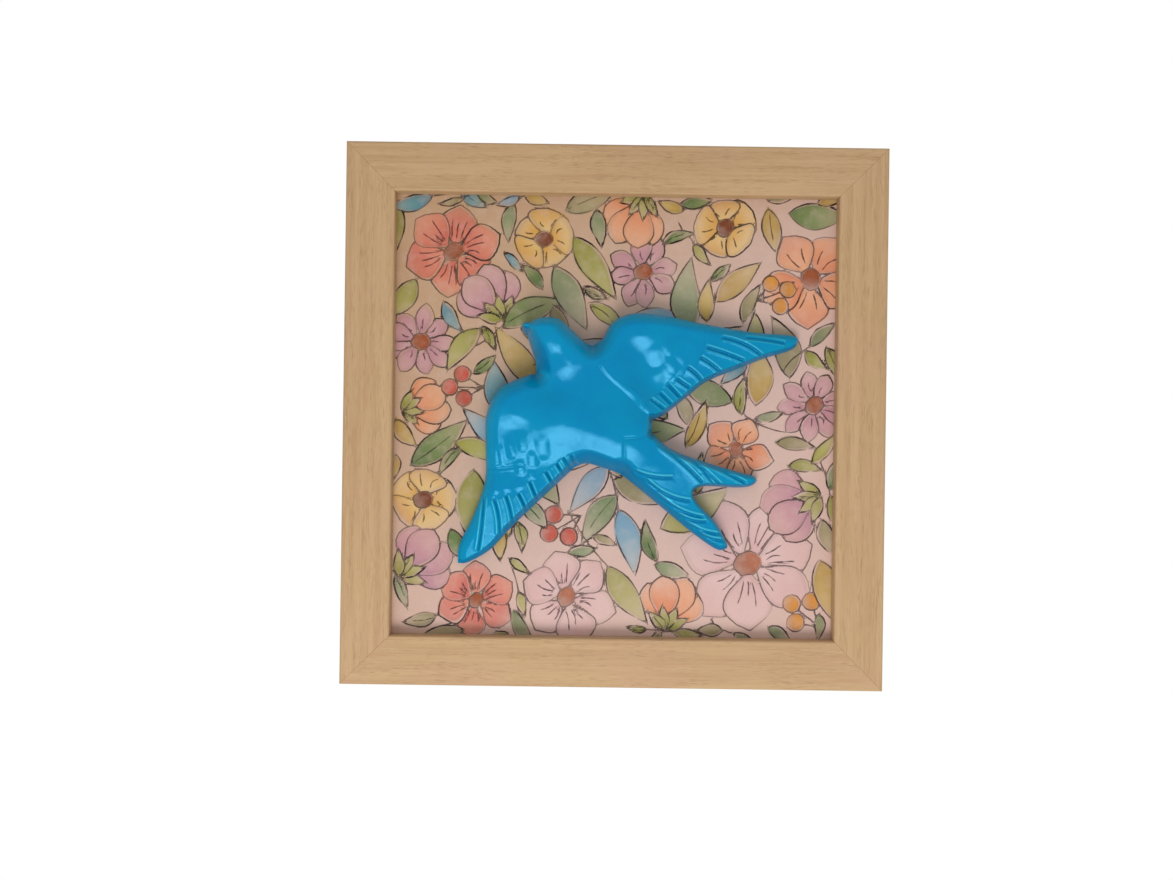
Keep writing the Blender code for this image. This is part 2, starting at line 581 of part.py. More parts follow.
def pin_place(quarter, side):
    """Where a board pin crosses the rebate's wall, and the unit way into the wood, as x and z."""
    turn = math.radians(90 * quarter)
    way = (math.sin(turn), math.cos(turn))
    along = (math.cos(turn), -math.sin(turn))
    offset = side * PIN_SPREAD / 2
    return (REBATE_HALF * way[0] + offset * along[0], REBATE_HALF * way[1] + offset * along[1]), way


def pin_bar(quarter, side, radius, start, stop):
    """Sections of a round bar across the rebate's wall, from start to stop along the way into the wood."""
    (x, z), way = pin_place(quarter, side)
    y = BOARD_BACK_Y + FIT_GAP + PIN_RADIUS
    sections = []
    for reach in (start, stop):
        ring = []
        for k in range(8):
            angle = 2 * math.pi * (k + 0.5) / 8
            aside = radius * math.cos(angle)
            ring.append((x + way[0] * reach + way[1] * aside, y + radius * math.sin(angle),
                         CENTRE_Z + z + way[1] * reach - way[0] * aside))
        sections.append(ring)
    return prism(sections)


def build():
    """Every piece, in its place."""
    for old in list(bpy.data.objects):
        bpy.data.objects.remove(old, do_unlink=True)
    wood = principled("frame_wood", (0.56, 0.35, 0.20), 0.6)
    board = principled("board", (0.30, 0.19, 0.11), 0.85)
    tile_glaze = principled("tile_glaze", (0.66, 0.45, 0.38), 0.35, coat=0.2)
    swallow_glaze = principled("swallow_glaze", (0.0, 0.25, 0.47), 0.12, coat=0.8)
    steel = principled("steel", (0.55, 0.54, 0.50), 0.4, metallic=1.0)
    brass = principled("brass", (0.70, 0.52, 0.25), 0.35, metallic=1.0)

    for quarter, side_name in enumerate(("top", "right", "bottom", "left")):
        rail = frame_rail(f"frame_rail_{side_name}", quarter, wood)
        for number, side in enumerate((-1, 1)):
            pin_number = 2 * quarter + number + 1
            clear = PIN_RADIUS + HOLE_PLAY
            hole = pin_bar(quarter, side, clear, -PIN_LENGTH, PIN_LENGTH - PIN_REACH + HOLE_PLAY)
            cutter(f"pin_hole_cutter_{pin_number}", *hole, rail)
            pin = pin_bar(quarter, side, PIN_RADIUS, -PIN_REACH, PIN_LENGTH - PIN_REACH)
            outward(add_object(f"board_pin_{pin_number}", *pin, steel))
        if side_name == "top":
            for side in (-1, 1):
                nail_hole(f"nail_hole_cutter_{'left' if side < 0 else 'right'}", side, rail)

    plate("tile", TILE_SIZE / 2, TILE_FRONT_Y, TILE_BACK_Y, TILE_EDGE_ROUND, tile_glaze)
    plate("back_board", REBATE_HALF - BOARD_PLAY, BOARD_FRONT_Y, BOARD_BACK_Y, 0.0, board)
    swallow(swallow_glaze)
    hanger(brass)
    hanger_nail("hanger_nail_left", -1, steel)
    hanger_nail("hanger_nail_right", 1, steel)


build()
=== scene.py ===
"""A framed azulejo: a painted tile in a mitred wooden frame, with a glazed swallow in high relief on it.

Metres, +Z up. The work faces -Y and hangs from its hanger at the origin. New pieces are surfaces worked out
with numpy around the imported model: the swallow's casting, the painted tile and the four rails. The board,
hanger, nails and pins are the model's own solids with a better finish.
"""

import math

import bpy
import numpy as np
from mathutils.geometry import delaunay_2d_cdt
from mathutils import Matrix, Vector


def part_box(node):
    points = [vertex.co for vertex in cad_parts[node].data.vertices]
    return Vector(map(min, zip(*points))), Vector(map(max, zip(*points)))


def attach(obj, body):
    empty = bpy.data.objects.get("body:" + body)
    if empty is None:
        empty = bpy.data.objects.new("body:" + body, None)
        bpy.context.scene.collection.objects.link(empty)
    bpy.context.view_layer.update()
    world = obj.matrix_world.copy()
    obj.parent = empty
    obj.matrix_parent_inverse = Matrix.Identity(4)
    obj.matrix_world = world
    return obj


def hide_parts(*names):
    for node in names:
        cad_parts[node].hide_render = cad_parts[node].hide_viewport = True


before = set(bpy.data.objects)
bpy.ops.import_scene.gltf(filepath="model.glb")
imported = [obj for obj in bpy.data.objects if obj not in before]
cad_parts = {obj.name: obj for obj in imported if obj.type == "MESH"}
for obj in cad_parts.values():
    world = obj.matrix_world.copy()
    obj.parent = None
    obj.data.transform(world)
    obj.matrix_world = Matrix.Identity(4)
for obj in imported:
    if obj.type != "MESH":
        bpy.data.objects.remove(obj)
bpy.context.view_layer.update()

MM = 0.001

# Camera, from the frame's middle on its front plane
CAMERA_AWAY = 0.550
CAMERA_ACROSS = -0.01205
CAMERA_UP = -0.01057
CAMERA_ROLL = -0.8
CAMERA_LENS = 38.73
SENSOR_WIDTH = 36.0

# The swallow's outline in hundredths of its span: across, up. Clockwise from under the beak
OUTLINE_RUNS = {
    "beak": [(-18.2, 20.7), (-18.9, 21.1), (-19.4, 22.0), (-19.3, 22.9), (-18.8, 23.5), (-18.1, 23.7),
             (-17.4, 23.9)],
    "crown": [(-17.4, 23.9), (-15.2, 24.8), (-12.7, 25.1), (-10.2, 24.6), (-8.5, 23.3), (-6.4, 21.4),
              (-4.0, 19.2), (-2.1, 18.2)],
    "right_leading": [(-2.1, 18.2), (0.3, 20.0), (2.4, 23.7), (5.4, 25.7), (9.4, 26.4), (16.6, 25.7),
                      (24.8, 24.1), (36.9, 22.2), (47.3, 21.4), (48.8, 20.0)],
    "right_trailing": [(48.8, 20.0), (47.1, 18.0), (40.8, 15.9), (33.3, 12.9), (26.2, 9.8), (21.9, 6.4),
                       (16.5, 2.0), (12.9, 0.1)],
    "flank": [(12.9, 0.1), (12.8, -3.0)],
    "tail_upper": [(12.8, -3.0), (17.6, -6.9), (25.4, -9.8), (34.2, -12.3), (38.0, -13.3), (39.1, -14.4)],
    "fork": [(39.1, -14.4), (37.6, -15.7), (34.3, -16.2), (25.9, -16.0), (23.2, -17.4), (24.4, -20.1),
             (28.9, -24.9), (31.7, -29.9), (31.8, -31.3)],
    "tail_lower": [(31.8, -31.3), (29.2, -31.5), (23.4, -27.7), (16.8, -22.4), (10.1, -17.0), (5.2, -13.2)],
    "belly": [(5.2, -13.2), (1.3, -11.9), (-3.1, -10.8), (-6.0, -11.7)],
    "left_trailing": [(-6.0, -11.7), (-9.4, -15.0), (-14.7, -20.1), (-21.2, -26.5), (-26.6, -32.3),
                      (-32.0, -35.5), (-34.6, -35.8)],
    "left_leading": [(-34.6, -35.8), (-34.3, -31.4), (-30.7, -23.4), (-28.1, -15.2), (-28.1, -6.5),
                     (-27.9, 1.2), (-24.9, 7.3), (-18.4, 10.6), (-15.9, 11.2)],
    "cheek": [(-15.9, 11.2), (-16.1, 14.2), (-16.9, 16.6), (-17.8, 19.4), (-18.2, 20.7)],
}

# How far in from each run the surface rolls over, at its start and end, and how full the rolling is:
# 2 is a quarter circle, 1 a straight slope
ROLL = {
    "beak": (1.2, 1.2, 2.0), "crown": (3.0, 4.4, 1.9), "right_leading": (4.4, 2.2, 2.0),
    "right_trailing": (0.9, 1.2, 1.3), "flank": (1.8, 1.8, 1.5), "tail_upper": (1.6, 1.0, 1.6),
    "fork": (0.9, 0.9, 1.4), "tail_lower": (1.4, 4.2, 1.6), "belly": (3.0, 3.8, 1.55),
    "left_trailing": (1.7, 1.3, 1.25), "left_leading": (2.4, 4.6, 2.0), "cheek": (4.4, 3.6, 1.9),
}

# The lie of the casting: across, up, and the height of the skin above the side wall there
SIDE_WALL = 1.6
LEAST_SKIN = 0.6
LIE_STIFFNESS = 2.2
LIE = {
    "head": (-11.0, 20.8, 12.8), "brow": (-10.5, 15.9, 11.7), "throat": (-9.2, 12.3, 9.6),
    "neck": (-7.5, 10.1, 8.75), "collar": (-5.6, 7.8, 8.4), "left_collar": (-13.4, 8.6, 7.35),
    "saddle": (-3.2, 13.8, 9.2), "mantle": (-2.5, 4.0, 8.4), "back": (2.5, 0.0, 8.6),
    "left_back": (-10.0, 2.4, 8.7), "scapular": (3.4, 14.4, 8.3), "rump": (10.4, -1.6, 7.9),
    "band_top": (-8.8, -1.4, 8.45), "band_foot": (-8.2, -7.2, 6.6), "belly_top": (-2.4, -2.8, 8.6),
    "belly_foot": (-2.6, -6.2, 7.6), "loin_top": (1.0, -5.0, 8.4), "loin_foot": (1.0, -7.6, 7.5),
    "loin_back": (6.0, -3.8, 8.5), "loin": (6.0, -6.2, 8.25), "loin_end": (5.8, -9.6, 7.15),
    "left_crown": (-20.4, 3.6, 8.6), "left_shoulder": (-20.6, 0.2, 8.3), "shoulder_foot": (-20.4, -2.2, 7.4),
    "left_coverts": (-20.2, -4.6, 7.0), "left_hollow": (-14.6, -3.6, 7.8), "covert_foot": (-19.6, -10.0, 5.9),
    "left_wrist": (-23.0, -12.5, 5.0), "left_wing": (-24.4, -17.6, 4.8), "left_hand": (-27.6, -27.0, 3.2),
    "left_tip": (-33.5, -34.5, 1.6), "left_tertials": (-12.8, -11.6, 5.2),
    "left_secondaries": (-14.6, -15.8, 4.85), "left_primaries": (-19.6, -19.0, 4.45),
    "right_shoulder": (9.6, 20.5, 8.35), "shoulder_crown": (9.6, 23.6, 8.5),
    "shoulder_slope": (9.8, 17.2, 7.15), "shoulder_inner": (6.2, 17.8, 7.7),
    "shoulder_top": (5.6, 21.2, 8.3), "right_coverts": (13.6, 16.8, 7.3),
    "coverts_foot": (13.4, 13.0, 6.0), "tertial_top": (14.8, 12.0, 5.95), "tertial_foot": (14.6, 8.0, 4.6),
    "right_tertials": (14.4, 5.0, 5.0), "right_wrist": (20.0, 20.8, 7.1), "right_middle": (19.5, 13.4, 6.1),
    "right_wing": (27.0, 17.2, 5.7), "right_hand": (37.0, 18.6, 4.5), "right_tip": (47.0, 20.2, 2.6),
    "tail_root": (9.6, -7.6, 7.75), "tail_crest": (12.0, -11.4, 7.05), "tail_middle": (18.0, -11.6, 6.3),
    "tail_top_middle": (25.0, -12.4, 5.1), "tail_top_tip": (37.5, -14.3, 2.6),
    "tail_low_middle": (17.0, -17.6, 5.4), "tail_low_tip": (30.6, -30.0, 2.2),
}

# The right wing's inner edge stands over the back along this line, and the rump over the tail along the other
BACK_CREASE = [(-0.6, 14.0), (0.6, 11.9), (2.9, 9.5), (6.1, 7.2), (8.2, 5.6), (9.8, 3.6), (11.4, 2.1),
               (13.0, 1.3)]
RUMP_EDGE = [(13.4, -2.2), (10.8, -3.7), (9.0, -4.3), (5.9, -4.6), (5.9, -10.6), (5.2, -13.0)]
STEP_REACH = 14.0
# The wing's step: its breadth at its ends, how much broader it is about a share of its length, and over what
# share, its slope in front, how much steeper it gets, how far it takes to die away, and its crease's depth
WING_STEP = (0.9, 1.1, 0.66, 0.2, 0.40, 0.35, 4.0, 0.05)
# The rump's step: its drop, breadth, how far it takes to die away, and its crease's depth, place and breadth
RUMP_STEP = (0.27, 0.7, 5.0, 0.14, 0.12, 0.26)

# Feather grooves: where each starts and ends, and how far it bows to the left of its way
RIGHT_GROOVES = [
    (12.0, 5.4, 15.7, 2.6, 0.0), (14.2, 7.0, 17.3, 3.9, 0.0), (16.1, 9.0, 19.7, 5.3, 0.0),
    (18.2, 10.3, 21.7, 8.0, 0.0), (20.7, 13.1, 24.6, 9.7, 0.3), (23.6, 15.6, 29.2, 11.9, 0.3),
    (25.0, 18.0, 35.2, 14.7, 0.2), (28.5, 20.4, 39.5, 16.0, 0.9), (34.4, 20.5, 45.4, 19.3, 0.2),
]
LEFT_GROOVES = [
    (-28.0, -18.4, -29.5, -33.0, 0.3), (-25.7, -19.2, -24.2, -28.6, 0.5), (-22.9, -18.4, -21.0, -26.0, 0.3),
    (-19.9, -18.0, -17.6, -23.0, 0.2), (-17.1, -15.0, -14.9, -20.2, 0.0), (-13.2, -12.6, -11.0, -16.4, 0.0),
    (-10.6, -10.6, -8.4, -14.0, 0.0), (-9.0, -9.2, -6.9, -12.6, 0.0), (-7.1, -8.6, -5.6, -11.4, 0.0),
]
TAIL_TOP_GROOVES = [
    (13.2, -5.4, 25.4, -15.4, 0.6), (19.0, -7.7, 29.8, -15.8, 0.5), (24.0, -9.4, 36.3, -15.3, 0.2),
    (25.2, -12.2, 28.2, -15.4, 0.0),
]
TAIL_LOW_GROOVES = [
    (8.2, -12.4, 18.2, -13.9, -0.6), (11.0, -14.2, 22.7, -19.6, -1.2), (13.2, -17.2, 26.0, -23.6, -1.2),
    (19.0, -22.8, 26.6, -24.6, -0.6), (20.0, -23.8, 30.4, -27.7, -1.0), (23.6, -26.6, 31.2, -29.2, -0.8),
]

# A groove's depth and half breadth, its upper and lower lips, and how far the feather on its right falls away
RIGHT_GROOVE = (0.36, 0.26, 0.15, 0.11, 0.20)
LEFT_GROOVE = (0.44, 0.22, 0.14, 0.15, 0.12)
TAIL_GROOVE = (0.34, 0.24, 0.16, 0.12, 0.22)
LOW_GROOVE = (0.30, 0.24, 0.24, 0.06, 0.0)
CREASE_GROOVE = (0.12, 0.22, 0.05, 0.05, 0.0)
GROOVE_REACH = 4.0
LIP_PLACE = 0.64
LIP_BREADTH = 0.29
FALL_START = 0.25
FALL_FULL = 0.95
FALL_BREADTH = 1.1

# Covert feathers, root to tip, their breadth and how far they swell
COVERTS = [
    (-19.4, -2.6, -18.4, -8.6, 3.5, 0.27), (-22.3, -4.0, -20.8, -10.3, 3.1, 0.27),
    (-14.3, -3.2, -13.4, -10.4, 4.3, 0.27), (-16.5, -7.4, -15.9, -12.4, 3.5, 0.26),
    (-19.6, -9.6, -18.9, -14.3, 3.3, 0.25), (-24.3, -5.6, -23.4, -11.8, 1.9, 0.15),
    (-26.0, -5.4, -25.4, -11.7, 1.8, 0.15), (-27.4, -5.2, -27.1, -11.4, 1.6, 0.12),
    (-27.0, -12.6, -27.3, -18.2, 2.1, 0.18), (-24.9, -12.7, -25.2, -18.6, 2.3, 0.18),
    (-22.5, -12.7, -22.3, -18.2, 2.6, 0.18), (-19.8, -13.8, -19.4, -17.8, 2.6, 0.18),
    (-16.6, -12.2, -16.2, -15.2, 2.6, 0.2), (11.6, 18.4, 13.8, 12.6, 4.3, 0.15),
    (13.0, 13.0, 14.6, 7.5, 4.1, 0.15), (14.4, 20.4, 17.4, 15.4, 2.8, 0.12),
    (15.6, 15.8, 18.4, 11.4, 2.8, 0.12), (16.0, 11.6, 18.6, 9.0, 2.4, 0.10),
    (17.6, 17.4, 21.3, 13.2, 2.6, 0.10), (18.8, 20.6, 23.6, 17.4, 2.8, 0.10),
    (18.0, 23.6, 23.9, 20.6, 3.0, 0.08),
]
WING_CREASES = [(-28.2, -12.1, -18.6, -11.2, -0.5), (24.6, 24.0, 23.8, 15.4, 0.9)]
COVERT_CREASE = 0.05
GROOVES = [
    (RIGHT_GROOVES, RIGHT_GROOVE), (LEFT_GROOVES, LEFT_GROOVE), (TAIL_TOP_GROOVES, TAIL_GROOVE),
    (TAIL_LOW_GROOVES, LOW_GROOVE), (WING_CREASES, CREASE_GROOVE),
]

# How finely the casting is cut, and how far in from the outline its rim's thin glaze and painted shade reach
OUTLINE_STEP = 0.26
LINE_STEP = 0.5
LATTICE_STEP = 0.172
INSET_ROWS = (0.05, 0.14, 0.28, 0.46)
RIM_REACH = 2.4

# Light and surroundings
WHITE = (1.0, 1.0, 1.0, 1.0)
ROOM_LIGHT = 0.60
FLOOR_Z = -1.25
FLOOR_CORNERS = [(-2.2, -2.4), (2.2, -2.4), (2.2, 1.4), (-2.2, 1.4)]
LAMPS = [
    ("window", (-0.04, -0.80, -0.68), 0.66, 0.46, 3.7),
    ("window_middle", (-0.04, -0.79, -0.672), 0.38, 0.24, 1.1),
]


def paint(red, green, blue):
    """A colour as it reads on a screen, 0 to 255, as the light it stands for."""
    shares = [c / 255 for c in (red, green, blue)]
    return tuple(c / 12.92 if c <= 0.04045 else ((c + 0.055) / 1.055) ** 2.4 for c in shares) + (1.0,)


# Tile: its rounding, its grid, how far the garden grows, and the colours of its painting
TILE_EDGE_ROUND = 0.0006
TILE_GRID = 306
TILE_HALF_MM = 97.0
GARDEN_SEED = 41
# How many millimetres away the nearest ink counts as where there is none
NO_INK = 3.0
GROUND_PINK = paint(215, 182, 170)
GROUND_TAN = paint(194, 158, 124)
GREENS = [(paint(*one), paint(*other)) for one, other in [
    ((142, 142, 50), (172, 170, 92)), ((92, 122, 58), (140, 154, 96)), ((116, 136, 92), (158, 164, 128)),
    ((182, 146, 60), (206, 176, 104)), ((66, 136, 152), (124, 166, 170)), ((142, 132, 90), (174, 160, 120)),
    ((78, 112, 54), (126, 144, 84)), ((160, 156, 66), (186, 178, 108)), ((112, 158, 182), (150, 178, 186)),
]]
GREEN_SHARES = [0.25, 0.15, 0.12, 0.11, 0.06, 0.09, 0.10, 0.09, 0.03]
# Each hue's two petal colours and its heart
HUES = {name: ((paint(*one), paint(*other)), paint(*heart)) for name, one, other, heart in [
    ("coral", (206, 96, 80), (224, 132, 108), (160, 84, 48)),
    ("orange", (222, 130, 84), (232, 162, 118), (160, 84, 48)),
    ("yellow", (216, 160, 66), (228, 190, 122), (128, 68, 38)),
    ("mauve", (190, 132, 146), (206, 156, 160), (160, 82, 46)),
    ("lilac", (180, 126, 148), (202, 146, 152), (150, 90, 70)),
    ("pale", (226, 190, 186), (218, 174, 172), (182, 112, 84)),
    ("berry", (200, 84, 66), (214, 116, 86), (160, 84, 48)),
    ("amber", (218, 144, 52), (214, 160, 70), (160, 84, 48)),
]}
PETAL_STYLES = {
    "five": {"broad": 1.12, "point": 0.05, "heart_share": 0.22, "ribs": 3},
    "cup": {"broad": 1.45, "notch": 0.04, "heart_share": 0.3, "ribs": 2},
    "star": {"broad": 1.0, "point": 0.12, "heart_share": 0.24, "ribs": 2},
    "daisy": {"broad": 1.0, "notch": 0.0, "heart_share": 0.27, "ribs": 1},
}

# The garden, placed in millimetres: radius, petals, turn, colour and petal style of each open flower, and
# heading, size and colour of each bell and of the berries
OPEN_FLOWERS = [
    (60, -64, 29, 7, 14, "pale", "five"), (-72, 72, 21, 6, 20, "coral", "five"),
    (86, 62, 21, 5, 50, "orange", "star"), (-32, 78, 14, 5, 5, "yellow", "cup"),
    (48, 84, 14, 5, 33, "yellow", "cup"), (-86, 32, 16, 9, 0, "mauve", "daisy"),
    (12, 64, 16, 8, 12, "mauve", "daisy"), (-20, -80, 21, 6, 44, "pale", "five"),
    (-84, -38, 15, 5, 10, "yellow", "cup"), (88, 6, 16, 9, 20, "mauve", "daisy"),
    (-60, -82, 17, 6, 26, "coral", "five"), (54, -14, 15, 5, 60, "orange", "star"),
]
BELLS = [
    (-50, 42, 120, 27, "mauve"), (92, -34, 200, 29, "lilac"), (-94, -72, 40, 28, "lilac"),
    (24, -94, 80, 26, "orange"), (12, 98, 250, 26, "orange"), (-94, 2, 10, 23, "orange"),
]
BERRIES = [
    (-14, -44, 210, 12, "berry"), (62, 52, 20, 11, "amber"), (92, -92, 140, 12, "amber"),
    (-58, 12, 180, 11, "berry"),
]
# Leaves in order of their length: how many places are tried, the room about each, and the overlap allowed
LEAF_ROUNDS = [(31, 300, 0.6, 0.05), (24, 600, 0.5, 0.05), (18, 1000, 0.4, 0.05), (13, 1200, 0.35, 0.04)]

# Frame
RAIL_FACE_WIDTH = 0.0215
LIP_THICKNESS = 0.0075
REBATE_WIDTH = 0.004
ARRIS_RADIUS = 0.0011
MITRE_GAP = 0.00001
MITRE_EASE = 0.0001
GRAIN_SHIFTS = {"top": (0, 0, 0), "right": (3.7, 1.3, 0), "bottom": (8.1, 2.9, 4.4), "left": (1.9, 6.2, 9.3)}


def curve_through(knots, step):
    """Places along a smooth run: the Catmull-Rom cubic of each four neighbouring knots, at even shares."""
    knots = np.asarray(knots, float)
    padded = np.vstack([2 * knots[0] - knots[1], knots, 2 * knots[-1] - knots[-2]])
    pieces = []
    for p0, p1, p2, p3 in zip(padded[:-3], padded[1:-2], padded[2:-1], padded[3:]):
        count = max(1, round(float(np.linalg.norm(p2 - p1)) / step))
        t = (np.arange(count) / count)[:, None]
        pieces.append(0.5 * (2 * p1 + (p2 - p0) * t + (2 * p0 - 5 * p1 + 4 * p2 - p3) * t ** 2
                             + (3 * p1 - p0 - 3 * p2 + p3) * t ** 3))
    return np.vstack([*pieces, knots[-1:]])


def bowed(x0, y0, x1, y1, bow, count=9):
    """Places from one point to another on a parabola that bows to the left of its way."""
    t = np.linspace(0, 1, count)[:, None]
    start, end = np.array([x0, y0]), np.array([x1, y1])
    way = (end - start) / np.linalg.norm(end - start)
    return start + (end - start) * t + np.array([-way[1], way[0]]) * bow * 4 * t * (1 - t)


def columns(*parts):
    """Lists of numbers, all of one length, side by side."""
    return np.stack(parts, axis=1)


def ramp(value, start, stop):
    """0 before start, 1 after stop, and the smooth cubic 3t^2 - 2t^3 between."""
    t = np.clip((value - start) / (stop - start), 0, 1)
    return t * t * (3 - 2 * t)


def between_ends(share, begin, end):
    """1 along a line, and a ramp from 0 over that share of its length at its start and at its end."""
    return ramp(share, 0, begin) * ramp(1 - share, 0, end)


def hump(value, breadth):
    """1 at nought and e^(-(value / breadth)^2) to either side."""
    return np.exp(-(value / breadth) ** 2)


def from_line(places, line, farthest=np.inf):
    """Each place's distance from a line, its share of the line's length, and its side of it.

    The distance is the least over the line's segments. The side is 1 on the left of its way, -1 on the right.
    """
    gap = np.full(len(places), farthest)
    share, side = np.zeros(len(places)), np.ones(len(places))
    lengths = np.maximum(np.linalg.norm(np.diff(line, axis=0), axis=1), 1e-9)
    begun = np.concatenate([[0], np.cumsum(lengths)])
    for k, (a, b) in enumerate(zip(line[:-1], line[1:])):
        way = (b - a) / lengths[k]
        offset = places - a
        along = np.clip(offset @ way, 0, lengths[k])
        apart = np.hypot(*(offset - along[:, None] * way).T)
        closer = apart < gap
        gap = np.where(closer, apart, gap)
        share = np.where(closer, (begun[k] + along) / begun[-1], share)
        side = np.where(closer, np.sign(way[0] * offset[:, 1] - way[1] * offset[:, 0]), side)
    return gap, share, side


def beside(places, line, reach):
    """Which places are within reach of a line, and what from_line says of them."""
    low, high = line.min(axis=0) - reach, line.max(axis=0) + reach
    which = np.flatnonzero(((places >= low) & (places <= high)).all(axis=1))
    return which, *from_line(places[which], line, reach * 2.0)


def casting_lie(places):
    """The casting's smooth skin through the named heights: a sum of hyperbolas about their places."""
    keys = np.array(list(LIE.values()))

    def spread(where):
        """The hyperbola sqrt(distance^2 + stiffness^2) of each place from each key."""
        return np.sqrt(((where[:, None] - keys[None, :, :2]) ** 2).sum(axis=2) + LIE_STIFFNESS ** 2)

    mean = keys[:, 2].mean()
    return mean + spread(places) @ np.linalg.solve(spread(keys[:, :2]), keys[:, 2] - mean)


def rolled_edges(places):
    """1 inside, falling to 0 at the outline: (1 - (1 - t)^n)^(1/n), t the distance in the run's breadths."""
    kept = np.ones(len(places))
    for name, knots in OUTLINE_RUNS.items():
        begin, end, full = ROLL[name]
        which, gap, share, _ = beside(places, curve_through(knots, LINE_STEP), max(begin, end))
        t = np.clip(gap / (begin + (end - begin) * share), 0, 1)
        kept[which] *= (1 - (1 - t) ** full) ** (1 / full)
    return kept


def stepped(places):
    """The wing's step up from the back and the rump's down to the tail: even slopes that end in a crease.

    Past its slope a step dies away as e^(-distance / the length it takes).
    """
    total = np.zeros(len(places))
    narrow, wider, widest, spread, gentle, steeper, dies, deep = WING_STEP
    which, gap, share, side = beside(places, curve_through(BACK_CREASE, LINE_STEP), STEP_REACH)
    past = side * gap
    broad = narrow + wider * hump(share - widest, spread)
    slope = gentle + steeper * ramp(share, 0.35, 0.8)
    step = slope * broad * np.clip(past / broad + 0.5, 0, 1) * np.exp(-np.maximum(past, 0) / dies)
    crease = deep * hump(past - 0.5 * broad - 0.45, 0.4)
    total[which] += between_ends(share, 0.06, 0.1) * (step - crease)

    drop, broad, dies, deep, aside, crease_breadth = RUMP_STEP
    which, gap, share, side = beside(places, np.array(RUMP_EDGE), STEP_REACH)
    past = side * gap
    fall = drop * np.clip(past / broad + 1, 0, 1) * np.exp(-np.maximum(past, 0) / dies)
    total[which] -= between_ends(share, 0.1, 0.15) * (fall + deep * hump(past - aside, crease_breadth))
    return total


def grooved(places):
    """Feather grooves: the lips, humps to either side of a line, the fall of the feather on its right, which
    dies away as e^(-distance / breadth), and the cut, a narrow hump on the line that is taken away."""
    cut, lips, falls = np.zeros((3, len(places)))
    for rows, (depth, half, upper, lower, fall) in GROOVES:
        for groove in rows:
            which, gap, share, side = beside(places, bowed(*groove), GROOVE_REACH)
            fade = between_ends(share, 0.12, 0.06)
            cut[which] = np.maximum(cut[which], depth * fade * hump(gap, 1.3 * half))
            lip = np.where(side > 0, upper, lower) * hump(gap - LIP_PLACE, LIP_BREADTH)
            away = ramp(gap, FALL_START, FALL_FULL) * np.exp(-np.maximum(gap - FALL_FULL, 0) / FALL_BREADTH)
            lips[which] += fade * lip
            falls[which] += fade * fall * away * (side < 0)
    return lips, falls, cut


def feathered(places):
    """Covert feathers, each a low dome about its shaft, (1 - r^2)^1.8, with a crease round its tip."""
    total = np.zeros(len(places))
    for x0, y0, x1, y1, breadth, rise in COVERTS:
        shaft = np.array([(x0, y0), (x1, y1)])
        length = math.hypot(x1 - x0, y1 - y0)
        shaft[1] -= (shaft[1] - shaft[0]) * breadth / 2 / length
        which, gap, share, _ = beside(places, shaft, breadth)
        r = gap / (breadth / 2)
        dome = rise * np.clip(1 - r ** 2, 0, 1) ** 1.8 * ramp(share, 0, 0.6)
        crease = COVERT_CREASE * rise * hump(r - 1.0, 0.25) * ramp(share, 0.1, 0.7)
        total[which] = np.where(r < 1, np.maximum(total[which], dome), total[which]) - crease
    return total


def inside_loop(places, loop):
    """Which places lie inside a closed loop, by counting the crossings of a ray to the right."""
    found = np.zeros(len(places), bool)
    for (x0, y0), (x1, y1) in zip(loop, np.roll(loop, -1, axis=0)):
        if y0 != y1:
            between = np.flatnonzero((places[:, 1] > min(y0, y1)) & (places[:, 1] <= max(y0, y1)))
            at = x0 + (places[between, 1] - y0) * (x1 - x0) / (y1 - y0)
            found[between] ^= at > places[between, 0]
    return found


def depth_in(places, outline):
    """How deep each place lies inside a closed outline, negative outside."""
    gap, _, _ = from_line(places, np.vstack([outline, outline[:1]]))
    return np.where(inside_loop(places, outline), gap, -gap)


def triangles_in(loop, inner):
    """A Delaunay mesh of a loop and the places in it."""
    count = len(loop)
    edges = [(k, (k + 1) % count) for k in range(count)]
    places = [tuple(p) for p in np.vstack([loop, inner])]
    points, _, faces, _, _, _ = delaunay_2d_cdt(places, edges, [], 1, 1e-6)
    return np.array([tuple(p) for p in points]), np.array(faces)


def add_piece(name, points, faces, material, smooth_below=None):
    """One piece from points and faces in their places, faces turned outward by how they are listed."""
    mesh = bpy.data.meshes.new(name)
    mesh.from_pydata(points.tolist(), [], [list(map(int, face)) for face in faces])
    mesh.materials.append(material)
    mesh.update()
    made = bpy.data.objects.new(name, mesh)
    bpy.context.scene.collection.objects.link(made)
    if smooth_below is not None:
        mesh.shade_smooth()
        mesh.set_sharp_from_angle(angle=math.radians(smooth_below))
    return made


def give_numbers(piece, name, values, kind):
    """Keeps a number or a colour for each point of a piece, for its material to read."""
    kept = piece.data.attributes.new(name, kind, "POINT")
    word = {"FLOAT": "value", "FLOAT_COLOR": "color", "FLOAT_VECTOR": "vector"}[kind]
    kept.data.foreach_set(word, np.ascontiguousarray(values, dtype=np.float32).ravel())


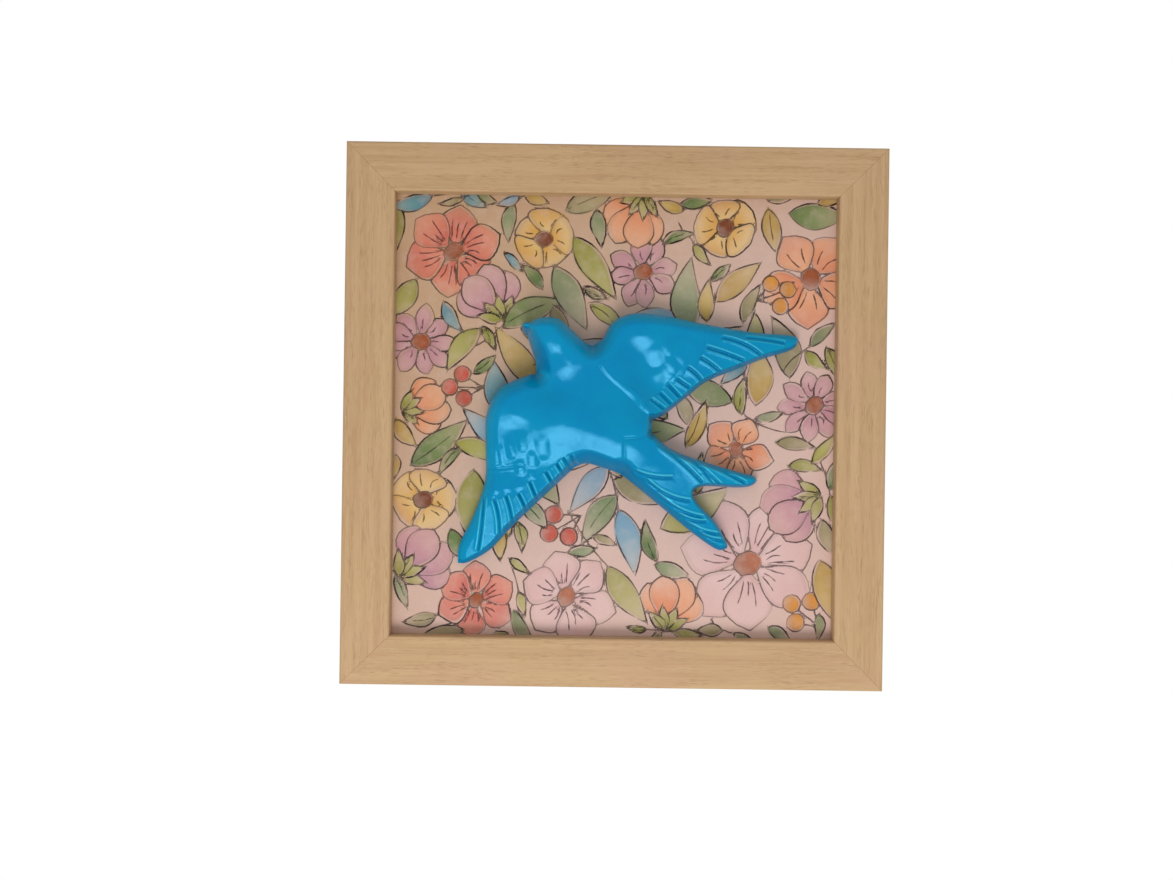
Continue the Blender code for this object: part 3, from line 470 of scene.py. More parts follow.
def swallow(material):
    """The casting: its drawing triangulated finely and lifted by its height, with an upright wall and a flat
    back. The height is side wall + rolled edge x (lie + steps + feathers + lips + falls - cuts)."""
    runs = [curve_through(knots, OUTLINE_STEP)[:-1] for knots in OUTLINE_RUNS.values()]
    loop = np.vstack(runs)[::-1]
    way = np.roll(loop, -1, axis=0) - np.roll(loop, 1, axis=0)
    inward = columns(-way[:, 1], way[:, 0]) / np.hypot(*way.T)[:, None]
    closed = np.vstack([loop, loop[:1]])

    rows = []
    for inset in INSET_ROWS:
        row = loop + inward * inset
        which, gap, _, _ = beside(row, closed, 1.0)
        rows.append(row[which][gap > 0.96 * inset])
    low, high = loop.min(axis=0), loop.max(axis=0)
    across, up = np.meshgrid(np.arange(low[0], high[0], LATTICE_STEP),
                             np.arange(low[1], high[1], LATTICE_STEP * math.sqrt(3) / 2))
    across[1::2] += LATTICE_STEP / 2
    lattice = columns(across.ravel(), up.ravel())
    lattice = lattice[inside_loop(lattice, loop)]
    far = np.ones(len(lattice), bool)
    which, gap, _, _ = beside(lattice, closed, 1.0)
    far[which] = gap > INSET_ROWS[-1] + 0.4 * LATTICE_STEP
    drawn, faces = triangles_in(loop, np.vstack([*rows, lattice[far]]))

    count = len(loop)
    lips, falls, cut = grooved(drawn)
    relief = stepped(drawn) + feathered(drawn) + lips + falls
    edges = rolled_edges(drawn)
    height = SIDE_WALL + np.maximum(casting_lie(drawn) + relief - cut, LEAST_SKIN) * edges
    height[:count] = SIDE_WALL

    box_low, box_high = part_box("swallow")
    share = (box_high.x - box_low.x) / (high[0] - low[0])
    x = box_low.x + share * (drawn[:, 0] - low[0])
    z = box_low.z + share * (drawn[:, 1] - low[1])
    skin = columns(x, box_high.y - share * height, z)
    back = skin[:count] * (1, 0, 1) + (0, box_high.y, 0)
    _, back_faces = triangles_in(loop, np.empty((0, 2)))
    k = np.arange(count)
    ahead = (k + 1) % count
    total = len(skin)
    walls = np.vstack([columns(k, total + ahead, ahead), columns(k, total + k, total + ahead)])
    every = np.vstack([faces, walls, back_faces[:, ::-1] + total])
    made = add_piece("swallow_casting", np.vstack([skin, back]), every, material, smooth_below=50)

    to_edge = np.full(len(drawn), RIM_REACH)
    which, gap, _, _ = beside(drawn, closed, RIM_REACH)
    to_edge[which] = gap
    # Positive in the grooves, for glaze pooled there and painted shade; negative on the lips, for thin glaze
    # and a painted highlight
    pooling_shade_and_sheen = np.concatenate([cut / LEFT_GROOVE[0] - 1.2 * lips, np.zeros(count)])
    rim = np.concatenate([1 - to_edge / RIM_REACH, np.ones(count)])
    give_numbers(made, "pooling_shade_and_sheen", pooling_shade_and_sheen, "FLOAT")
    give_numbers(made, "rim", rim, "FLOAT")
    # How steep each point is, for the less glossy sides, and how far it faces down, for their painted shade
    normals = np.empty(3 * len(made.data.vertices), dtype=np.float32)
    made.data.vertex_normals.foreach_get("vector", normals)
    _, y, z = normals.reshape(-1, 3).T
    give_numbers(made, "steep", np.sqrt(1 / np.clip(-y, 0.05, 1) ** 2 - 1), "FLOAT")
    give_numbers(made, "under", np.clip(-z, 0, 1), "FLOAT")
    return made


class Wire:
    """A socket of a finish. Python's operators on it add the Math nodes that work them out."""

    def __init__(self, finish, socket):
        self.finish = finish
        self.socket = socket

    def math(self, operation, first, second=0.0):
        return self.finish.node("Math", {"operation": operation}, {0: first, 1: second})

    def __add__(self, other):
        return self.math("ADD", self, other)

    def __sub__(self, other):
        return self.math("SUBTRACT", self, other)

    def __rsub__(self, other):
        return self.math("SUBTRACT", other, self)

    def __mul__(self, other):
        return self.math("MULTIPLY", self, other)

    __radd__ = __add__
    __rmul__ = __mul__

    def size(self):
        """The number without its sign."""
        return self.math("ABSOLUTE", self)

    def rise(self, start, stop, low=0.0, high=1.0):
        """low up to start, high from stop on, and a smooth rise between."""
        values = {"Value": self, "From Min": start, "From Max": stop, "To Min": low, "To Max": high}
        return self.finish.node("MapRange", {"interpolation_type": "SMOOTHSTEP"}, values)


class Finish:
    """A material, made from expressions on its wires."""

    def __init__(self, name, **fixed):
        self.material = bpy.data.materials.new(name)
        self.material.use_nodes = True
        self.tree = self.material.node_tree
        self.shader = self.tree.nodes["Principled BSDF"]
        for socket, value in fixed.items():
            self.shader.inputs[socket.replace("_", " ")].default_value = value
        self.places = self.node("TexCoord", out="Object")

    def node(self, kind, settings=None, values=None, out=0):
        """Any node: its type, its settings, which are set first, and the values or wires of its sockets."""
        made = self.tree.nodes.new("ShaderNode" + kind)
        for name, value in (settings or {}).items():
            setattr(made, name, value)
        for name, value in (values or {}).items():
            if isinstance(value, Wire):
                self.tree.links.new(value.socket, made.inputs[name])
            else:
                made.inputs[name].default_value = value
        return Wire(self, made.outputs[out])

    def noise(self, size, detail=3.0, rough=0.5, stretch=(1, 1, 1), shift=(0, 0, 0), twist=0.0):
        """Noise from 0 to 1 about 0.5: lumps of that size in metres, drawn out along the axes by stretch."""
        scale = tuple(1 / (size * s) for s in stretch)
        where = self.node("Mapping", {}, {"Vector": self.places, "Location": shift, "Scale": scale})
        values = {"Vector": where, "Scale": 1.0, "Detail": detail, "Roughness": rough, "Distortion": twist}
        return self.node("TexNoise", {}, values)

    def number(self, name, part="Fac"):
        """A number or colour kept on the piece's points."""
        return self.node("Attribute", {"attribute_name": name}, out=part)

    def blend(self, first, second, factor):
        """One colour turning to another by a factor."""
        return self.node("Mix", {"data_type": "RGBA"}, {0: factor, 6: first, 7: second}, out=2)

    def lumps(self, height, depth):
        """A normal from a height whose whole range stands that deep."""
        return self.node("Bump", {}, {"Height": height, "Distance": depth, "Strength": 1.0})

    def dulled(self, factor, colour):
        """Where the factor is 1, a shader of that colour with little gloss takes the glossy one's place."""
        values = {"Base Color": colour, "Specular IOR Level": 0.08, "Roughness": 0.35}
        dull = self.node("BsdfPrincipled", {}, values)
        end = self.node("MixShader", {}, {0: factor, 1: Wire(self, self.shader.outputs[0]), 2: dull})
        self.tree.links.new(end.socket, self.tree.nodes["Material Output"].inputs[0])

    def give(self, **wires):
        """Feeds the shader's sockets and gives the material back."""
        for socket, wire in wires.items():
            self.tree.links.new(wire.socket, self.shader.inputs[socket.replace("_", " ")])
        return self.material


def swallow_glaze():
    """Glossy turquoise-blue glaze, thin and greener towards the edges and over the groove lips, with a
    painted highlight along the lips, and pooled and darker in the grooves, with painted shade there. Painted
    shade darkens the rolled edge near the outline, and the steep sides carry painted light above and painted
    shade where they face down.
    """
    tint = paint(112, 191, 228)
    glaze = Finish("swallow_glaze", Specular_Tint=tint, IOR=1.5, Specular_IOR_Level=0.72)
    pooling_shade_and_sheen = glaze.number("pooling_shade_and_sheen")
    rim = glaze.number("rim")
    clouds = glaze.noise(0.024, 3.0, 0.5)
    broken = glaze.noise(0.0035, 4.0, 0.6)
    body = glaze.blend(paint(0, 132, 184), paint(0, 140, 188), clouds.rise(0.35, 0.65))
    thin = glaze.blend(body, paint(0, 146, 178), rim.rise(0.1, 0.55) * 0.5 + broken.rise(0.45, 0.75) * 0.3)
    # A darker band over the rolled edge near the outline: painted shade
    rim_shade_band = glaze.blend(thin, paint(0, 112, 162), rim.rise(0.5, 0.85) * 0.7)
    edge = glaze.blend(rim_shade_band, paint(12, 152, 188), rim.rise(0.88, 0.97) * 0.7)
    # Lighter, greener glaze where it runs thin over the groove lips, with a painted highlight along them
    thin_lips_and_sheen = glaze.blend(edge, paint(70, 190, 214), (pooling_shade_and_sheen * -1).rise(0.04, 0.16) * 0.75)
    # Darker where glaze pools in the grooves, with painted shade there too
    deep = glaze.blend(thin_lips_and_sheen, paint(0, 84, 132), pooling_shade_and_sheen.rise(0.25, 1.0) * 0.8)
    waves = glaze.noise(0.011, 2.0, 0.5) * 0.9 + broken * 0.1
    rough = glaze.noise(0.004, 2.0, 0.5).rise(0.2, 0.9, 0.11, 0.19)
    # The steep sides: painted light where they face up or sideways, painted shade where they face down, on a
    # less glossy shader
    side = glaze.blend(paint(0, 158, 204), paint(0, 116, 166), glaze.number("under").rise(0.15, 0.5))
    steep_sides_lit_and_shaded = glaze.blend(deep, side, 0.85)
    glaze.dulled(glaze.number("steep").rise(0.6, 1.3) * 0.9, steep_sides_lit_and_shaded)
    return glaze.give(Base_Color=deep, Roughness=rough, Normal=glaze.lumps(waves, 0.35 * MM))


def wood(name, turned, shift):
    """Pale open-grained hardwood under matt oil: soft streaks, and fine pores drawn out along the rail.

    The grain runs across the work, or up it where the rail is turned.
    """
    oiled = Finish(name, Roughness=0.6)

    def along(length, width):
        """A stretch whose lumps are that long and that wide."""
        share = length / width
        return (1, 1, share) if turned else (share, 1, 1)

    streaks = oiled.noise(3.4 * MM, 3.0, 0.6, along(120, 3.4), shift, 0.3)
    bands = oiled.noise(1.3 * MM, 3.0, 0.65, along(40, 1.3), shift, 0.2)
    fibres = oiled.noise(0.30 * MM, 2.0, 0.5, along(11, 0.30), shift)
    pores = oiled.noise(0.28 * MM, 1.0, 0.4, along(5.0, 0.28), tuple(s + 3.1 for s in shift))
    where_pores = oiled.noise(3.0 * MM, 3.0, 0.6, along(26, 3.0), tuple(s + 7.7 for s in shift))
    patches = oiled.noise(34 * MM, 2.0, 0.5, (1, 1, 1), shift)
    base = oiled.blend(paint(189, 153, 109), paint(200, 166, 122), streaks.rise(0.3, 0.7))
    warm = oiled.blend(base, paint(184, 142, 103), bands.rise(0.5, 0.68) * 0.62)
    pale = oiled.blend(warm, paint(212, 182, 146), fibres.rise(0.5, 0.8) * 0.35)
    rosy = oiled.blend(pale, paint(200, 156, 128), patches.rise(0.45, 0.7) * 0.25)
    dashes = pores.rise(0.55, 0.66) * where_pores.rise(0.36, 0.62)
    dark = oiled.blend(rosy, paint(158, 119, 84), dashes * 0.45)
    grain = bands * 0.35 + fibres * 0.3 - dashes * 0.5
    rough = streaks.rise(0.2, 0.8, 0.55, 0.68)
    return oiled.give(Base_Color=dark, Roughness=rough, Normal=oiled.lumps(grain, 0.08 * MM))


def tile_glaze():
    """Satin tile glaze over the painting: mottled washes, hand-inked lines, and a faint orange peel."""
    satin = Finish("tile_glaze", Roughness=0.42, Specular_IOR_Level=0.22)
    washes = satin.number("painting", "Color")
    line = satin.node("SeparateXYZ", {}, {0: satin.number("ink", "Vector")})
    side, gap, tone = (Wire(satin, line.socket.node.outputs[k]) for k in range(3))
    clouds = satin.noise(5.5 * MM, 4.0, 0.6)
    grains = satin.noise(0.9 * MM, 3.0, 0.65)
    mottled = satin.blend(washes, paint(226, 196, 186), clouds.rise(0.42, 0.75) * 0.22)
    settled = satin.blend(mottled, paint(150, 118, 104), grains.rise(0.5, 0.8) * 0.16)
    shake = satin.noise(1.6 * MM, 2.0, 0.5).rise(0.2, 0.8, -0.09, 0.09)
    width = tone * 0.22 + 0.12 + (grains - 0.5) * 0.12
    inked = ((side + shake).size() - width).rise(0.14, -0.02) * gap.rise(0.75, 0.5)
    strength = inked * (tone * 0.65 + 0.35) * clouds.rise(0.15, 0.5, 0.75, 1.0)
    drawn = satin.blend(settled, paint(40, 24, 22), strength * tone.rise(0.02, 0.2))
    peel = satin.noise(1.3 * MM, 2.0, 0.5) * 0.5 + satin.noise(9 * MM, 2.0, 0.5) * 0.5
    rough = grains.rise(0.2, 0.8, 0.38, 0.46)
    return satin.give(Base_Color=drawn, Roughness=rough, Normal=satin.lumps(peel, 0.05 * MM))


def hardboard():
    """Brown hardboard: pressed fibres, and the faint screen pattern of its rough side."""
    board = Finish("hardboard", Roughness=0.85)
    fibres = board.noise(0.8 * MM, 4.0, 0.7, (3, 1, 1))
    stains = board.noise(30 * MM, 3.0, 0.5)
    brown = board.blend(paint(128, 92, 62), paint(98, 68, 45), fibres.rise(0.3, 0.7))
    worn = board.blend(brown, paint(146, 110, 78), stains.rise(0.45, 0.75) * 0.5)
    screen = {"Vector": board.places, "Scale": 180.0, "Distortion": 1.0}
    weft, warp = (board.node("TexWave", {"bands_direction": way}, screen) for way in "XZ")
    rough = fibres.rise(0.3, 0.7, 0.8, 0.92)
    pressed = board.lumps(weft * warp + fibres * 0.5, 0.15 * MM)
    return board.give(Base_Color=worn, Roughness=rough, Normal=pressed)


def metal(name, color, dull, scratch):
    """Thin plated metal: scratched along its length, duller where it has tarnished."""
    plate = Finish(name, Metallic=1.0)
    scratches = plate.noise(0.12 * MM, 2.0, 0.6, (scratch, 1, 1))
    tarnish = plate.noise(3 * MM, 3.0, 0.6)
    worn = plate.blend(color, tuple(c * 0.55 for c in color[:3]) + (1.0,), tarnish.rise(0.45, 0.8) * 0.7)
    rough = tarnish.rise(0.3, 0.8, dull, dull + 0.25)
    return plate.give(Base_Color=worn, Roughness=rough, Normal=plate.lumps(scratches, 0.02 * MM))


class Painting:
    """The tile's painted face: a square grid of places in millimetres from its middle, each with the colour
    laid there, and the nearest ink line's side and distance and how strongly it was drawn."""

    def __init__(self, half):
        self.along = np.linspace(-half, half, TILE_GRID)
        self.numbers = np.arange(TILE_GRID ** 2).reshape(TILE_GRID, TILE_GRID)
        across, up = (part.ravel() for part in np.meshgrid(self.along, self.along))
        self.places = columns(across, up)
        # The ground turns from pink at the bottom right to a darker, browner tan towards the top left
        tan = ramp(up - across, -70, 160)[:, None]
        self.ground = np.array(GROUND_PINK[:3]) * (1 - tan) + np.array(GROUND_TAN[:3]) * tan
        self.colour = self.ground.copy()
        self.side, self.gap = np.full((2, TILE_GRID ** 2), NO_INK)
        self.tone = np.zeros(TILE_GRID ** 2)
        self.taken = np.zeros(TILE_GRID ** 2, bool)
        self.hand = np.random.default_rng(GARDEN_SEED)

    def window(self, line, margin):
        """The grid's places round a line: their numbers, and where they are."""
        first = np.searchsorted(self.along, line.min(axis=0) - margin)
        last = np.searchsorted(self.along, line.max(axis=0) + margin)
        which = self.numbers[first[1]:last[1], first[0]:last[0]].ravel()
        return which, self.places[which]

    def clear(self, outline):
        """Takes away what was drawn inside an outline, back to the ground."""
        which, places = self.window(outline, 1.0)
        inside = which[depth_in(places, outline) > 0]
        self.colour[inside] = self.ground[inside]
        self.gap[inside] = NO_INK
        self.side[inside] = NO_INK
        self.tone[inside] = 0.0
        self.taken[inside] = True

    def wash(self, outline, colour, other, strength=0.9, soft=1.2, slip=0.5):
        """A watercolour fill inside an outline, a little off its place, that turns to the other colour."""
        moved = outline + self.hand.normal(0, slip, 2) * 0.6
        which, places = self.window(moved, soft)
        depth = depth_in(places, moved)
        span = outline[len(outline) // 2] - outline[0]
        t = ((places - outline[0]) @ span) / max(float(span @ span), 1e-6)
        blend = ramp(t + self.hand.normal(0, 0.12), 0.1, 0.95)[:, None]
        laid = np.array(colour[:3]) * (1 - blend) + np.array(other[:3]) * blend
        pool = 1 - 0.16 * np.exp(-(np.maximum(depth, 0) - 0.7) ** 2 / 0.5)
        fade = 1 - 0.42 * ramp(t, 0.35, 1.05) * self.hand.uniform(0.4, 1.2)
        cover = (ramp(depth, -0.35 * soft, 0.65 * soft) * strength * fade)[:, None]
        self.colour[which] = self.colour[which] * (1 - cover) + laid * pool[:, None] * cover

    def ink(self, line, tone=0.85, broken=0.35, shake=0.22):
        """A hand-drawn line: it wavers, presses harder in places and lifts off in others."""
        line = np.asarray(line, float)
        count = len(line)
        waver = self.hand.normal(0, shake, (max(3, count // 3), 2))
        spots = np.linspace(0, 1, len(waver))
        t = np.linspace(0, 1, count)
        line = line + columns(np.interp(t, spots, waver[:, 0]), np.interp(t, spots, waver[:, 1]))
        which, places = self.window(line, 1.6)
        if len(which) == 0:
            return
        gap, share, side = from_line(places, line)
        press = self.hand.normal(0, 1, 7)
        pressed = np.interp(share, np.linspace(0, 1, 7), press)
        strong = tone * (1 - broken * np.clip(0.5 + 0.7 * pressed, 0, 1.6)) * ramp(share, -0.05, 0.06)
        strong = strong * ramp(1 - share, -0.05, 0.08)
        closer = gap < self.gap[which]
        for kept, laid in ((self.side, side * gap), (self.tone, np.clip(strong, 0, 1)), (self.gap, gap)):
            kept[which[closer]] = laid[closer]


def turned_by(points, degrees, centre=(0, 0)):
    """Points turned anticlockwise about the middle and then set at a centre."""
    a = math.radians(degrees)
    x, y = np.asarray(points, float).T
    return columns(x * math.cos(a) - y * math.sin(a), x * math.sin(a) + y * math.cos(a)) + centre


def leaf_shape(length, breadth, lean=0.0):
    """A leaf along x from its stalk: half-breadths b sin(pi t^0.8) about a spine that leans as a parabola."""
    t = np.linspace(0, 1, 14)
    spine = lean * 4 * t * (1 - t)
    half = breadth / 2 * np.sin(np.pi * t ** 0.8)
    upper = columns(length * t, spine + half)
    lower = columns(length * t, spine - half)
    return upper, lower, columns(length * t, spine)


def leaf_outline(place, heading, length, breadth):
    """The closed outline of a straight leaf in its place."""
    upper, lower, _ = (turned_by(part, heading, place) for part in leaf_shape(length, breadth))
    return np.vstack([upper, lower[-2:0:-1]])


def draw_leaf(art, place, heading, length, breadth, colours, lean=0.0):
    """A leaf: a wash of two greens, its two edges and part of its midrib in ink."""
    upper, lower, spine = (turned_by(part, heading, place) for part in leaf_shape(length, breadth, lean))
    outline = np.vstack([upper, lower[-2:0:-1]])
    art.clear(outline)
    art.wash(outline, *colours, strength=art.hand.uniform(0.75, 0.95))
    art.ink(upper, tone=art.hand.uniform(0.8, 1.0), broken=0.4)
    art.ink(lower, tone=art.hand.uniform(0.7, 1.0), broken=0.6)
    if length > 9 and art.hand.random() < 0.35:
        art.ink(spine[1:10], tone=0.6, broken=0.6)


def petal_shape(begin, end, breadth, notch, point):
    """A petal along x: half-breadths b sin(pi t^1.35)^0.8, its end notched or drawn to a point."""
    t = np.linspace(0, 1, 13)
    half = breadth / 2 * np.sin(np.pi * np.clip(t, 0, 0.985) ** 1.35) ** 0.8
    x = begin + (end - begin) * (t + point * t ** 6)
    upper = columns(x, half)
    lower = columns(x, -half)[::-1]
    outline = np.vstack([upper, lower[1:]])
    outer = outline[:, 0] > begin + 0.6 * (end - begin)
    outline[:, 0] -= notch * hump(outline[:, 1], 0.22 * breadth) * outer
    return outline


def draw_flower(art, place, radius, petals, turn, colours, heart, broad, heart_share, ribs,
                notch=0.0, point=0.0):
    """An open flower: petals with their own wash, edge and a few ribs, round an inked heart."""
    breadth = broad * 2 * radius * 0.72 * math.sin(math.pi / petals)
    order = art.hand.permutation(petals)
    for k in order:
        reach = radius * art.hand.uniform(0.92, 1.06)
        own_breadth = breadth * art.hand.uniform(0.92, 1.08)
        shape = petal_shape(0.12 * radius, reach, own_breadth, notch * radius, point)
        heading = turn + 360 * k / petals + art.hand.normal(0, 4)
        outline = turned_by(shape, heading, place)
        art.clear(outline)
        art.wash(outline, colours[k % len(colours)], colours[(k + 1) % len(colours)], strength=0.85)
        art.ink(outline, tone=art.hand.uniform(0.55, 0.9), broken=0.5)
        for rib in np.linspace(-0.6, 0.6, ribs) if ribs > 1 else (0.1,):
            start, stop = heart_share * radius * 1.35, radius * art.hand.uniform(0.48, 0.74)
            line = bowed(start, rib * breadth * 0.16, stop, rib * breadth * 0.34, 0.3, 6)
            art.ink(turned_by(line, heading, place), 0.75, 0.4)
    angles = np.linspace(0, 2 * np.pi, 17)[:-1]
    ring = columns(np.cos(angles), np.sin(angles) * 0.82)
    ring *= heart_share * radius * art.hand.uniform(0.93, 1.07, (16, 1))
    ring = turned_by(ring, turn * 1.7, place)
    art.clear(ring)
    art.wash(ring, heart, tuple(c * 0.75 for c in heart[:3]), strength=1.0, soft=0.7, slip=0.15)
    art.ink(np.vstack([ring, ring[:2]]), tone=0.6, broken=0.6)


def draw_bell(art, place, heading, size, colours, green):
    """A flower from the side: a fan of petals out of a green cup with pointed sepals."""
    for lean, reach in ((-34, 0.86), (30, 0.9), (-12, 1.0), (12, 0.97)):
        petal = petal_shape(0.1 * size, size * reach, 0.52 * size, 0.05 * size, 0.0)
        outline = turned_by(petal, heading + lean, place)
        art.clear(outline)
        art.wash(outline, colours[0], colours[1], strength=0.85)
        art.ink(outline, tone=0.75, broken=0.45)
    for lean in (-52, -18, 18, 52):
        draw_leaf(art, place, heading + lean, size * 0.44, size * 0.17, green)


def draw_berries(art, place, heading, size, colour):
    """Three berries at the end of a forked stalk."""
    for lean, reach in ((-32, 1.0), (0, 1.35), (30, 0.9)):
        end = turned_by([(size * reach, 0)], heading + lean, place)[0]
        art.ink(np.linspace(place, end, 5), 0.8, 0.2, 0.1)
        angles = np.linspace(0, 2 * np.pi, 15)[:-1]
        ring = end + columns(np.cos(angles), np.sin(angles)) * size * 0.33
        art.clear(ring)
        art.wash(ring, colour, tuple(c * 0.8 for c in colour[:3]), strength=0.95, soft=0.8, slip=0.3)
        art.ink(np.vstack([ring, ring[:2]]), 0.75, 0.45, 0.1)


def room_for(art, outline, margin, allowed):
    """Whether an outline lies on the tile with little of it over what is drawn already."""
    if np.abs(outline).max() > TILE_HALF_MM + 6:
        return False
    which, places = art.window(outline, margin)
    inside = which[depth_in(places, outline) > -margin]
    return len(inside) > 0 and art.taken[inside].mean() <= allowed


def draw_twig(art, place, heading, length, leaves, leaf_length, allowed):
    """A bowed stalk with leaves to either side and one at its end, where there is room for each."""
    bow = art.hand.uniform(-0.12, 0.12) * length
    stalk = turned_by(bowed(0, 0, length, 0, bow, 13), heading, place)
    if not room_for(art, np.vstack([stalk[3:] + 0.4, stalk[:2:-1] - 0.4]), 0, 0.3):
        return
    art.ink(stalk, 0.75, 0.3)
    for k in range(leaves):
        t = (k + 0.8) / leaves
        spot = stalk[min(12, round(12 * t))]
        side = 1 if k % 2 else -1
        lean = 0 if k == leaves - 1 else side * art.hand.uniform(32, 55)
        size = leaf_length * art.hand.uniform(0.8, 1.15)
        breadth = size * art.hand.uniform(0.34, 0.46)
        pose = heading + lean
        if room_for(art, leaf_outline(spot, pose, size, breadth), 0.4, allowed):
            colours = GREENS[art.hand.integers(len(GREENS))]
            draw_leaf(art, spot, pose, size, breadth, colours, side * art.hand.uniform(0, 0.06) * size)


def painted_garden(half):
    """The whole painting: flowers where the list says, then leaves and twigs wherever there is room."""
    art = Painting(half)
    for x, z, radius, petals, turn, hue, style in OPEN_FLOWERS:
        draw_flower(art, (x, z), radius, petals, turn, *HUES[hue], **PETAL_STYLES[style])
    for x, z, heading, size, hue in BELLS:
        draw_bell(art, (x, z), heading, size, HUES[hue][0], GREENS[0])
    for x, z, heading, size, hue in BERRIES:
        draw_berries(art, (x, z), heading, size, HUES[hue][0][0])
    for size, tries, margin, allowed in LEAF_ROUNDS:
        for _ in range(tries):
            place = art.hand.uniform(-TILE_HALF_MM, TILE_HALF_MM, 2)
            flow = 70 * math.sin(place[0] / 31 + 0.7) + 60 * math.cos(place[1] / 27) + art.hand.normal(0, 45)
            length = size * art.hand.uniform(0.85, 1.15)
            breadth = length * art.hand.uniform(0.32, 0.44)
            if room_for(art, leaf_outline(place, flow, length, breadth), margin, allowed):
                colours = GREENS[art.hand.choice(len(GREENS), p=GREEN_SHARES)]
                draw_leaf(art, place, flow, length, breadth, colours, art.hand.uniform(-0.1, 0.1) * length)
                if size > 12:
                    draw_twig(art, place, flow + 180, length * 0.95, 4, size * 0.85, allowed)
    return art


def tile(material):
    """The tile: its painted front a fine grid with a rounded rim, an upright edge and a plain back."""
    low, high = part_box("tile")
    middle = (low + high) / 2
    half = (high.x - low.x) / 2
    reach = half - TILE_EDGE_ROUND
    art = painted_garden(reach / MM)
    along = np.linspace(-reach, reach, TILE_GRID)
    across, up = (part.ravel() for part in np.meshgrid(along, along))
    face = columns(across + middle.x, np.full(TILE_GRID ** 2, low.y), up + middle.z)
    number = art.numbers
    cells = np.stack([number[:-1, :-1], number[:-1, 1:], number[1:, 1:], number[1:, :-1]], axis=-1)
    cells = cells.reshape(-1, 4)
    ring = np.concatenate([number[0, :-1], number[:-1, -1], number[-1, :0:-1], number[:0:-1, 0]])
    flat = face[ring] - (middle.x, 0, middle.z)
    outward = np.sign(np.where(np.abs(flat) > reach - 1e-7, flat, 0)) * (1, 0, 1)
    points = [face]
    sides = []
    last = ring
    total = len(face)
    around = np.arange(len(ring))
    rounding = [(math.sin(a), TILE_EDGE_ROUND * (1 - math.cos(a))) for a in map(math.radians, (30, 60, 90))]
    for out, back in [*rounding, (1, high.y - low.y)]:
        grown = flat + outward * TILE_EDGE_ROUND * out + (0, back, 0)
        points.append(grown + (middle.x, 0, middle.z))
        now = total + around
        sides.append(columns(last, now, np.roll(now, -1), np.roll(last, -1)))
        last = now
        total += len(ring)
    points = np.vstack(points)
    faces = [list(f) for f in np.vstack([cells, *sides])] + [list(last[::-1])]
    made = add_piece("painted_tile", points, faces, material, smooth_below=40)

    def on_all(values):
        """The front's numbers, with those of its outermost places carried down the rim."""
        return np.vstack([values] + [values[ring]] * len(sides))

    give_numbers(made, "painting", np.hstack([on_all(art.colour), np.ones((total, 1))]), "FLOAT_COLOR")
    give_numbers(made, "ink", on_all(columns(art.side, art.gap, art.tone)), "FLOAT_VECTOR")
    unwrapped = made.data.uv_layers.new(name="OFBake")
    corners = np.empty(len(made.data.loops), dtype=np.int32)
    made.data.loops.foreach_get("vertex_index", corners)
    uv = (points[:, [0, 2]] - (low.x, low.z)) / (2 * half)
    unwrapped.data.foreach_set("uv", uv[corners].astype(np.float32).ravel())
    return made


def rail_section(ease):
    """The moulding's section, its faces eased inward: how far outward from the sight edge, and how deep.

    Its two front arrises are quarter circles.
    """
    r = ARRIS_RADIUS
    turn = np.radians(np.linspace(0, 90, 9))
    inner = columns(r - (r - ease) * np.cos(turn), r - (r - ease) * np.sin(turn))
    outer = columns(RAIL_FACE_WIDTH - r + (r - ease) * np.sin(turn), r - (r - ease) * np.cos(turn))
    corners = [(RAIL_FACE_WIDTH - ease, RAIL_DEPTH - ease), (REBATE_WIDTH + ease, RAIL_DEPTH - ease),
               (REBATE_WIDTH + ease, LIP_THICKNESS - ease), (ease, LIP_THICKNESS - ease)]
    return np.vstack([inner, outer, corners])


def frame_rail(side, quarter, material):
    """One rail: its section carried straight from mitre to mitre, eased at both, and turned into place."""
    turn = math.radians(90 * quarter)
    sections = []
    eased, whole = (0.0, MITRE_EASE), (MITRE_EASE, 0.0)
    for end, (back, ease) in ((-1, eased), (-1, whole), (1, whole), (1, eased)):
        out, depth = rail_section(ease).T
        along = end * (SIGHT_HALF + out - MITRE_GAP - back)
        up = SIGHT_HALF + out
        x = along * math.cos(turn) + up * math.sin(turn)
        z = up * math.cos(turn) - along * math.sin(turn)
        sections.append(columns(x, FRONT_Y + depth, MIDDLE_Z + z))
    count = len(sections[0])
    k = np.arange(count)
    band = columns(k, np.roll(k, -1), np.roll(k, -1) + count, k + count)
    sides = np.vstack([band + j * count for j in range(3)])
    faces = [list(f) for f in sides] + [list(k[::-1]), list(k + 3 * count)]
    return add_piece(f"rail_{side}", np.vstack(sections), faces, material, smooth_below=25)


def area_light(name, place, target, width, height, power):
    """A soft rectangle of light that faces its target."""
    lamp = bpy.data.lights.new(name, "AREA")
    lamp.shape = "RECTANGLE"
    lamp.size, lamp.size_y = width, height
    lamp.energy = power
    made = bpy.data.objects.new(name, lamp)
    bpy.context.scene.collection.objects.link(made)
    made.location = place
    way = np.array(target) - np.array(place)
    made.rotation_euler = (math.atan2(math.hypot(way[0], way[1]), -way[2]), 0, math.atan2(-way[0], way[1]))
    made.visible_camera = False


